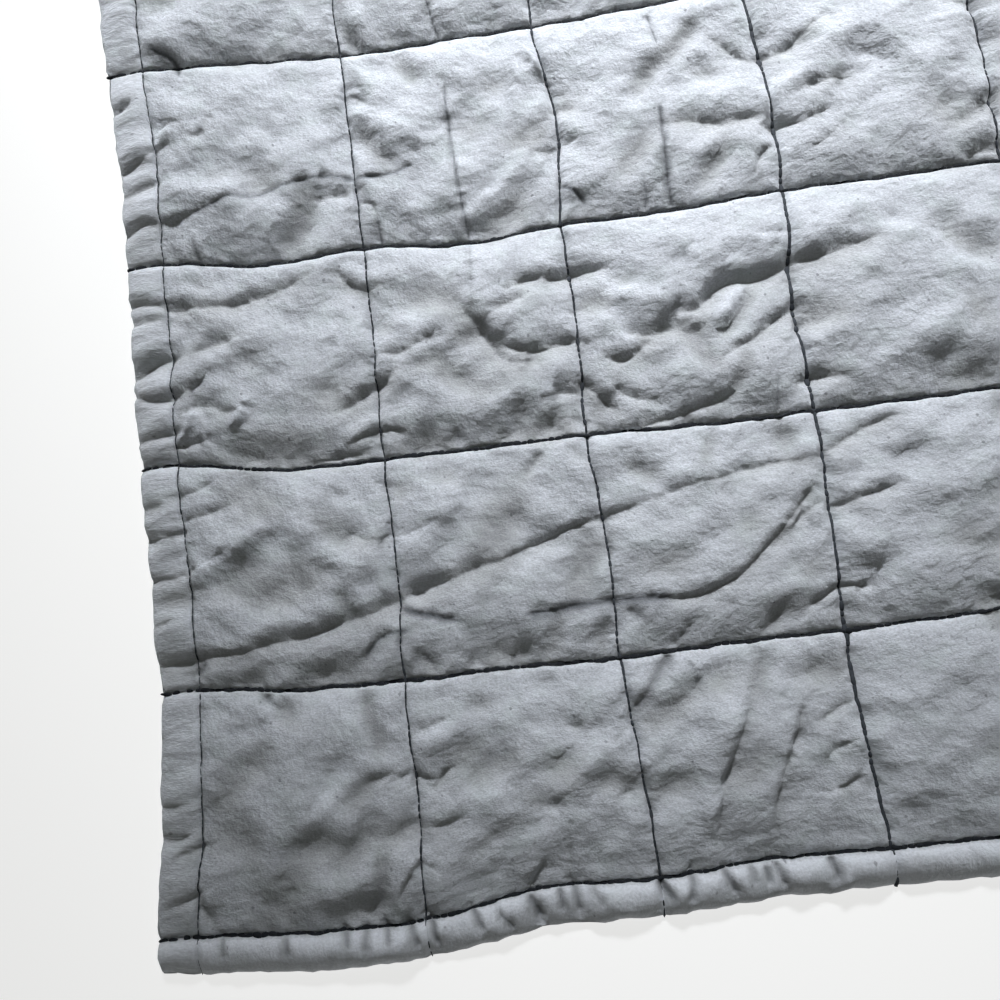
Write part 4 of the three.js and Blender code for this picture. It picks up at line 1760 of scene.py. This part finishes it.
class NodeTable:
    """Lays out and joins the nodes of one material."""

    def __init__(self, name: str, **settings: float | Colour) -> None:
        """Starts the material with its plain shader.

        Args:
            name: the new material's name.
            settings: values for the shader's sockets, with underscores for the spaces in their names.
        """
        self.material = bpy.data.materials.new(name)
        self.material.use_nodes = True
        self.nodes = self.material.node_tree.nodes
        self.shader = self.nodes["Principled BSDF"]
        for socket, value in settings.items():
            self.shader.inputs[socket.replace("_", " ")].default_value = value

    def feed(self, socket: Socket, source: Source) -> None:
        """Joins a socket to another one, or sets it to a number or a colour.

        Args:
            socket: the socket that is fed.
            source: the other socket, the number or the colour.
        """
        if isinstance(source, Socket):
            self.material.node_tree.links.new(source, socket)
        else:
            socket.default_value = source

    def maths(self, kind: str, first: Source, second: Source = 0.0) -> Socket:
        """A sum on one or two numbers.

        Args:
            kind: the name of the sum, such as MULTIPLY.
            first: the first number or its socket.
            second: the second one.

        Returns:
            The socket of the result.
        """
        node = self.nodes.new("ShaderNodeMath")
        node.operation = kind
        self.feed(node.inputs[0], first)
        self.feed(node.inputs[1], second)
        return node.outputs[0]

    def attribute(self, name: str) -> Socket:
        """The number that each point of the mesh holds under a name."""
        node = self.nodes.new("ShaderNodeAttribute")
        node.attribute_name = name
        return node.outputs["Fac"]

    def noise(self, place: Socket, grain: Grain) -> Socket:
        """Noise over the flat cloth.

        Args:
            place: the socket with the place on the cloth, in metres.
            grain: the noise's sizes.

        Returns:
            The socket of the noise, from 0 to 1.
        """
        stretched = self.nodes.new("ShaderNodeVectorMath")
        stretched.operation = "MULTIPLY"
        self.feed(stretched.inputs[0], place)
        stretched.inputs[1].default_value = (1 / (grain.pitch[0] * MM), 1 / (grain.pitch[1] * MM), 0)
        node = self.nodes.new("ShaderNodeTexNoise")
        node.noise_dimensions = "2D"
        node.inputs["Scale"].default_value = 1.0
        node.inputs["Detail"].default_value = grain.detail
        self.feed(node.inputs["Vector"], stretched.outputs[0])
        return node.outputs["Fac"]

    def ramp(self, value: Source, limits: Pair) -> Socket:
        """A value as its share of the way between two limits.

        Args:
            value: the socket of the value.
            limits: the lower and the upper limit.

        Returns:
            The socket of the share, held between 0 and 1.
        """
        node = self.nodes.new("ShaderNodeMapRange")
        self.feed(node.inputs["Value"], value)
        node.inputs["From Min"].default_value, node.inputs["From Max"].default_value = limits
        return node.outputs["Result"]

    def mixed(self, share: Source, first: Source, second: Source) -> Socket:
        """A colour between two others.

        Args:
            share: the share of the second colour.
            first: the first colour.
            second: the second one.

        Returns:
            The socket of the colour.
        """
        node = self.nodes.new("ShaderNodeMix")
        node.data_type = "RGBA"
        self.feed(node.inputs["Factor"], share)
        self.feed(node.inputs["A"], first)
        self.feed(node.inputs["B"], second)
        return node.outputs["Result"]

    def tinted(
        self, colour: Source, tint: Colour, where: Source, amount: float
    ) -> Socket:
        """A colour tinted with another in places.

        Args:
            colour: the colour that is tinted.
            tint: the other colour.
            where: how much of the tint each place takes, from 0 to 1.
            amount: the tint's share where that is 1.

        Returns:
            The socket of the colour.
        """
        return self.mixed(self.maths("MULTIPLY", where, amount), colour, tint)

    def pressed(self, depth: Source, full: float) -> None:
        """Presses the surface in by a depth from 0 to 1, over what it is pressed in by already.

        Args:
            depth: the socket of the depth.
            full: how deep 1 lies, in millimetres.
        """
        node = self.nodes.new("ShaderNodeBump")
        node.invert = True
        node.inputs["Distance"].default_value = full * MM
        self.feed(node.inputs["Height"], depth)
        normal = self.shader.inputs["Normal"]
        if normal.is_linked:
            self.feed(node.inputs["Normal"], normal.links[0].from_socket)
        self.feed(normal, node.outputs["Normal"])


@dataclass(frozen=True)
class BrushedCotton:
    """The quilt's washed cotton: plain blue-grey, matt, with a fine heathered weave.

    Its noises and seam puckers lie on the map of the flat cloth. Painted shade darkens its creases,
    beside its seams and the underside of its turned margin, painted shadow blackens the walls of its
    narrow creases, and a painted highlight pales the top of its turned margin.
    """

    light: Colour = (0.615, 0.635, 0.68, 1.0)
    dark: Colour = (0.40, 0.413, 0.44, 1.0)
    green: Colour = (0.50, 0.56, 0.55, 1.0)
    # The colours of the painted highlight on the margin's top, the olive painted shade and the painted
    # shadow of crease walls
    margin_highlight: Colour = (0.80, 0.82, 0.87, 1.0)
    shade_olive: Colour = (0.19, 0.185, 0.16, 1.0)
    shadow: Colour = (0.07, 0.075, 0.085, 1.0)
    speck: Colour = (0.10, 0.10, 0.11, 1.0)
    heather: Pair = (0.3, 0.7)
    greenest: Pair = (0.5, 0.8)
    green_share: float = 0.3
    margin_highlight_share: float = 0.4
    shade_olive_share: float = 0.36
    shadow_share: float = 0.8
    specks_from: Pair = (0.86, 0.92)
    speck_share: float = 0.5
    roughness: float = 0.92
    gloss: float = 0.15
    sheen: float = 0.08
    weave: Grain = Grain((1.2, 0.6), 3.0, 0.16)
    weave_share: float = 0.7
    slubs: Grain = Grain((5.0, 1.2), 2.0)
    slub_share: float = 0.3
    patches: Grain = Grain((17.0, 13.0), 2.0)
    specks: Grain = Grain((2.6, 2.6), 0.0)
    swell: Grain = Grain((26.0, 22.0), 6.0, 3.6)
    crumple: Grain = Grain((9.0, 8.0), 5.0, 1.0)
    across_puckers: Grain = Grain((8.0, 12.0), 2.0)
    across_reach: float = 6.0
    deep_puckers: Grain = Grain((15.0, 7.0), 2.0)
    deep_reach: float = 4.0
    pucker_depth: float = 1.4
    stitch_pitch: float = 3.4
    dimple_reach: float = 1.6
    dimple_share: float = 0.07

    def near_seam(self, table: NodeTable, place: Socket, reach: float) -> Socket:
        """How near each place is to a sewn line: 1 on the line, falling off within a reach.

        Args:
            table: the material's nodes.
            place: the socket with the place over the lines, in metres.
            reach: how far the nearness reaches, in millimetres.

        Returns:
            The socket of the nearness.
        """
        away = table.maths("PINGPONG", place, PATTERN.square / 2 * MM)
        return table.maths("EXPONENT", table.maths("DIVIDE", away, -reach * MM))

    def seam_puckers(self, table: NodeTable, place: Socket) -> Socket:
        """The depth of the fine puckers beside the sewn lines, about a half where there are none.

        Args:
            table: the material's nodes.
            place: the socket with the place on the flat cloth.

        Returns:
            The socket of the depth.
        """
        parts = table.nodes.new("ShaderNodeSeparateXYZ")
        table.feed(parts.inputs[0], place)
        depth: Source = 0.5
        for axis, grain, reach in (
            ("Y", self.across_puckers, self.across_reach),
            ("X", self.deep_puckers, self.deep_reach),
        ):
            near = self.near_seam(table, parts.outputs[axis], reach)
            wave = table.maths("SUBTRACT", table.noise(place, grain), 0.5)
            depth = table.maths("ADD", depth, table.maths("MULTIPLY", wave, near))
        near = self.near_seam(table, parts.outputs["Y"], self.dimple_reach)
        turns = table.maths("MULTIPLY", parts.outputs["X"], 2 * math.pi / (self.stitch_pitch * MM))
        dimples = table.maths("MULTIPLY", table.maths("SINE", turns), self.dimple_share)
        return table.maths("ADD", depth, table.maths("MULTIPLY", dimples, near))

    def build(self) -> bpy.types.Material:
        """Builds the material.

        Returns:
            The material, laid on the map named cloth and on the attributes that hold its painted shade,
            the painted shadow of crease walls and the painted highlight of the margin.
        """
        table = NodeTable(
            "brushed_cotton",
            Roughness=self.roughness,
            Specular_IOR_Level=self.gloss,
            Sheen_Weight=self.sheen,
        )
        cloth = table.nodes.new("ShaderNodeUVMap")
        cloth.uv_map = "cloth"
        place = cloth.outputs["UV"]
        weave = table.noise(place, self.weave)
        weave_part = table.maths("MULTIPLY", weave, self.weave_share)
        slub_part = table.maths("MULTIPLY", table.noise(place, self.slubs), self.slub_share)
        heather = table.ramp(table.maths("ADD", weave_part, slub_part), self.heather)
        patches = table.ramp(table.noise(place, self.patches), self.greenest)
        specks = table.ramp(table.noise(place, self.specks), self.specks_from)
        colour = table.mixed(heather, self.dark, self.light)
        # In turn: random green patches, the painted highlight, painted shade, painted shadow and random
        # dark specks
        for tint, where, amount in (
            (self.green, patches, self.green_share),
            (self.margin_highlight, table.attribute("margin_highlight"), self.margin_highlight_share),
            (self.shade_olive, table.attribute("hollow_shade"), self.shade_olive_share),
            (self.shadow, table.attribute("line"), self.shadow_share),
            (self.speck, specks, self.speck_share),
        ):
            colour = table.tinted(colour, tint, where, amount)
        table.feed(table.shader.inputs["Base Color"], colour)
        table.pressed(self.seam_puckers(table, place), self.pucker_depth)
        table.pressed(table.noise(place, self.swell), self.swell.depth)
        table.pressed(table.noise(place, self.crumple), self.crumple.depth)
        table.pressed(weave, self.weave.depth)
        return table.material


@dataclass(frozen=True)
class SewingThread:
    """A matt sewing thread of one plain colour."""

    name: str
    colour: Colour
    roughness: float = 0.85
    gloss: float = 0.2

    def build(self) -> bpy.types.Material:
        """Builds the material.

        Returns:
            The material.
        """
        table = NodeTable(
            self.name, Base_Color=self.colour, Roughness=self.roughness, Specular_IOR_Level=self.gloss
        )
        return table.material


# The first thread is its own dark slate darkened further with painted shade, for the shade in the crevices
# of the lines sewn across; it is also used on the back. The second is the same thread without the painted
# shade, for the lines sewn away from the near edge.
SHADED_SLATE = SewingThread("shaded_slate_thread", (0.012, 0.014, 0.017, 1.0))
PLAIN_SLATE = SewingThread("plain_slate_thread", (0.045, 0.05, 0.058, 1.0))


@dataclass(frozen=True)
class Studio:
    """The pale floor, the soft light from beyond the quilt and the camera over its near left corner.

    The floor's drop is in millimetres, and the camera's eye in millimetres from the near left
    crossing. Angles are in degrees.
    """

    floor_drop: float = 0.2
    floor_reach: float = 40.0
    floor_colour: Colour = (0.36, 0.36, 0.36, 1.0)
    floor_roughness: float = 0.9
    floor_glow_colour: Colour = (1.0, 1.0, 0.99, 1.0)
    floor_glow: float = 0.72
    lamp_azimuth: float = 3.0
    lamp_elevation: float = 23.0
    lamp_target: Triple = (-0.05, -0.15, 0.0)
    lamp_aim: Triple = (-0.01, 0.53, 0.0)
    lamp_distance: float = 2.2
    lamp_power: float = 2680.0
    lamp_spread: float = 15.2
    lamp_blend: float = 1.0
    lamp_size: float = 0.45
    lamp_colour: Triple = (0.93, 0.96, 1.0)
    fill_colour: Colour = (0.96, 0.99, 0.93, 1.0)
    fill_strength: float = 0.11
    eye: Triple = (161.2, 135.7, 357.6)
    look: Triple = (-0.0255, 0.1045, -0.9942)
    down: Triple = (-0.1199, -0.9877, -0.1007)
    film_width: float = 36.0
    focal_share: float = 0.78
    nearest: float = 0.01

    def build(self) -> None:
        """Makes the floor, the lights, the world and the camera."""
        self.floor()
        self.lamp()
        self.fill()
        self.camera()

    def floor(self) -> None:
        """Makes the pale floor just under the quilt."""
        bm = bmesh.new()
        bmesh.ops.create_grid(bm, x_segments=1, y_segments=1, size=self.floor_reach)
        bmesh.ops.translate(bm, verts=bm.verts, vec=(0, 0, -self.floor_drop * MM))
        floor = new_object(mesh_of(bm, "floor"))
        table = NodeTable(
            "pale_floor",
            Base_Color=self.floor_colour,
            Roughness=self.floor_roughness,
            Emission_Color=self.floor_glow_colour,
            Emission_Strength=self.floor_glow,
        )
        floor.data.materials.append(table.material)

    def lamp(self) -> None:
        """Lights the quilt with a large soft lamp beyond its far edge."""
        azimuth = math.radians(self.lamp_azimuth)
        elevation = math.radians(self.lamp_elevation)
        level = math.cos(elevation)
        towards = Vector((math.sin(azimuth) * level, math.cos(azimuth) * level, math.sin(elevation)))
        data = bpy.data.lights.new("lamp", "SPOT")
        data.energy = self.lamp_power
        data.spot_size = math.radians(self.lamp_spread)
        data.spot_blend = self.lamp_blend
        data.shadow_soft_size = self.lamp_size
        data.color = self.lamp_colour
        lamp = bpy.data.objects.new("lamp", data)
        lamp.location = Vector(self.lamp_target) + towards * self.lamp_distance
        lamp.rotation_euler = (lamp.location - Vector(self.lamp_aim)).to_track_quat("Z", "Y").to_euler()
        bpy.context.scene.collection.objects.link(lamp)

    def fill(self) -> None:
        """Lights the quilt dimly from all round."""
        world = bpy.data.worlds.new("studio")
        world.use_nodes = True
        background = world.node_tree.nodes["Background"]
        background.inputs["Color"].default_value = self.fill_colour
        background.inputs["Strength"].default_value = self.fill_strength
        bpy.context.scene.world = world

    def camera(self) -> None:
        """Puts the camera above the near left corner, nearly straight down, with the far side up."""
        look = Vector(self.look).normalized()
        right = Vector(self.down).cross(look).normalized()
        up = right.cross(look).normalized()
        turn = Matrix((right, up, -look)).transposed().to_4x4()
        turn.translation = Vector(framed(np.array([self.eye]))[0])
        data = bpy.data.cameras.new("camera")
        data.sensor_width = self.film_width
        data.lens = data.sensor_width * self.focal_share
        data.clip_start = self.nearest
        camera = bpy.data.objects.new("camera", data)
        camera.matrix_world = turn
        bpy.context.scene.collection.objects.link(camera)
        bpy.context.scene.camera = camera


def dress(piece: bpy.types.Object, material: bpy.types.Material) -> None:
    """Gives a piece its finish, lets it ride on the quilt's body and reports it.

    Args:
        piece: the piece.
        material: its finish.
    """
    piece.data.materials.append(material)
    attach(piece, "root")
    piece.data.calc_loop_triangles()
    LOG.info("%s: %d triangles", piece.name, len(piece.data.loop_triangles))


def main() -> None:
    """Builds the quilt, its thread and the studio."""
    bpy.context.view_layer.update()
    bpy.context.scene.view_settings.view_transform = "Standard"
    surface = ClothSurface()
    LOG.info("the face is filled")
    body = QuiltBody(surface).build()
    dress(body, BrushedCotton().build())
    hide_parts("quilt")
    # the threads sewn across take the slate darkened with painted crevice shade
    shaded_slate = SHADED_SLATE.build()
    for name, size, side, across, finish in (
        ("thread_across", TIGHT, Side.FACE, True, shaded_slate),
        ("thread_deep", EASY, Side.FACE, False, PLAIN_SLATE.build()),
        ("back_thread_across", UNDER, Side.BACK, True, shaded_slate),
        ("back_thread_deep", UNDER, Side.BACK, False, shaded_slate),
    ):
        dress(SewnThread(surface, size, side, across).build(name), finish)
    Studio().build()


if __name__ == "__main__":
    main()
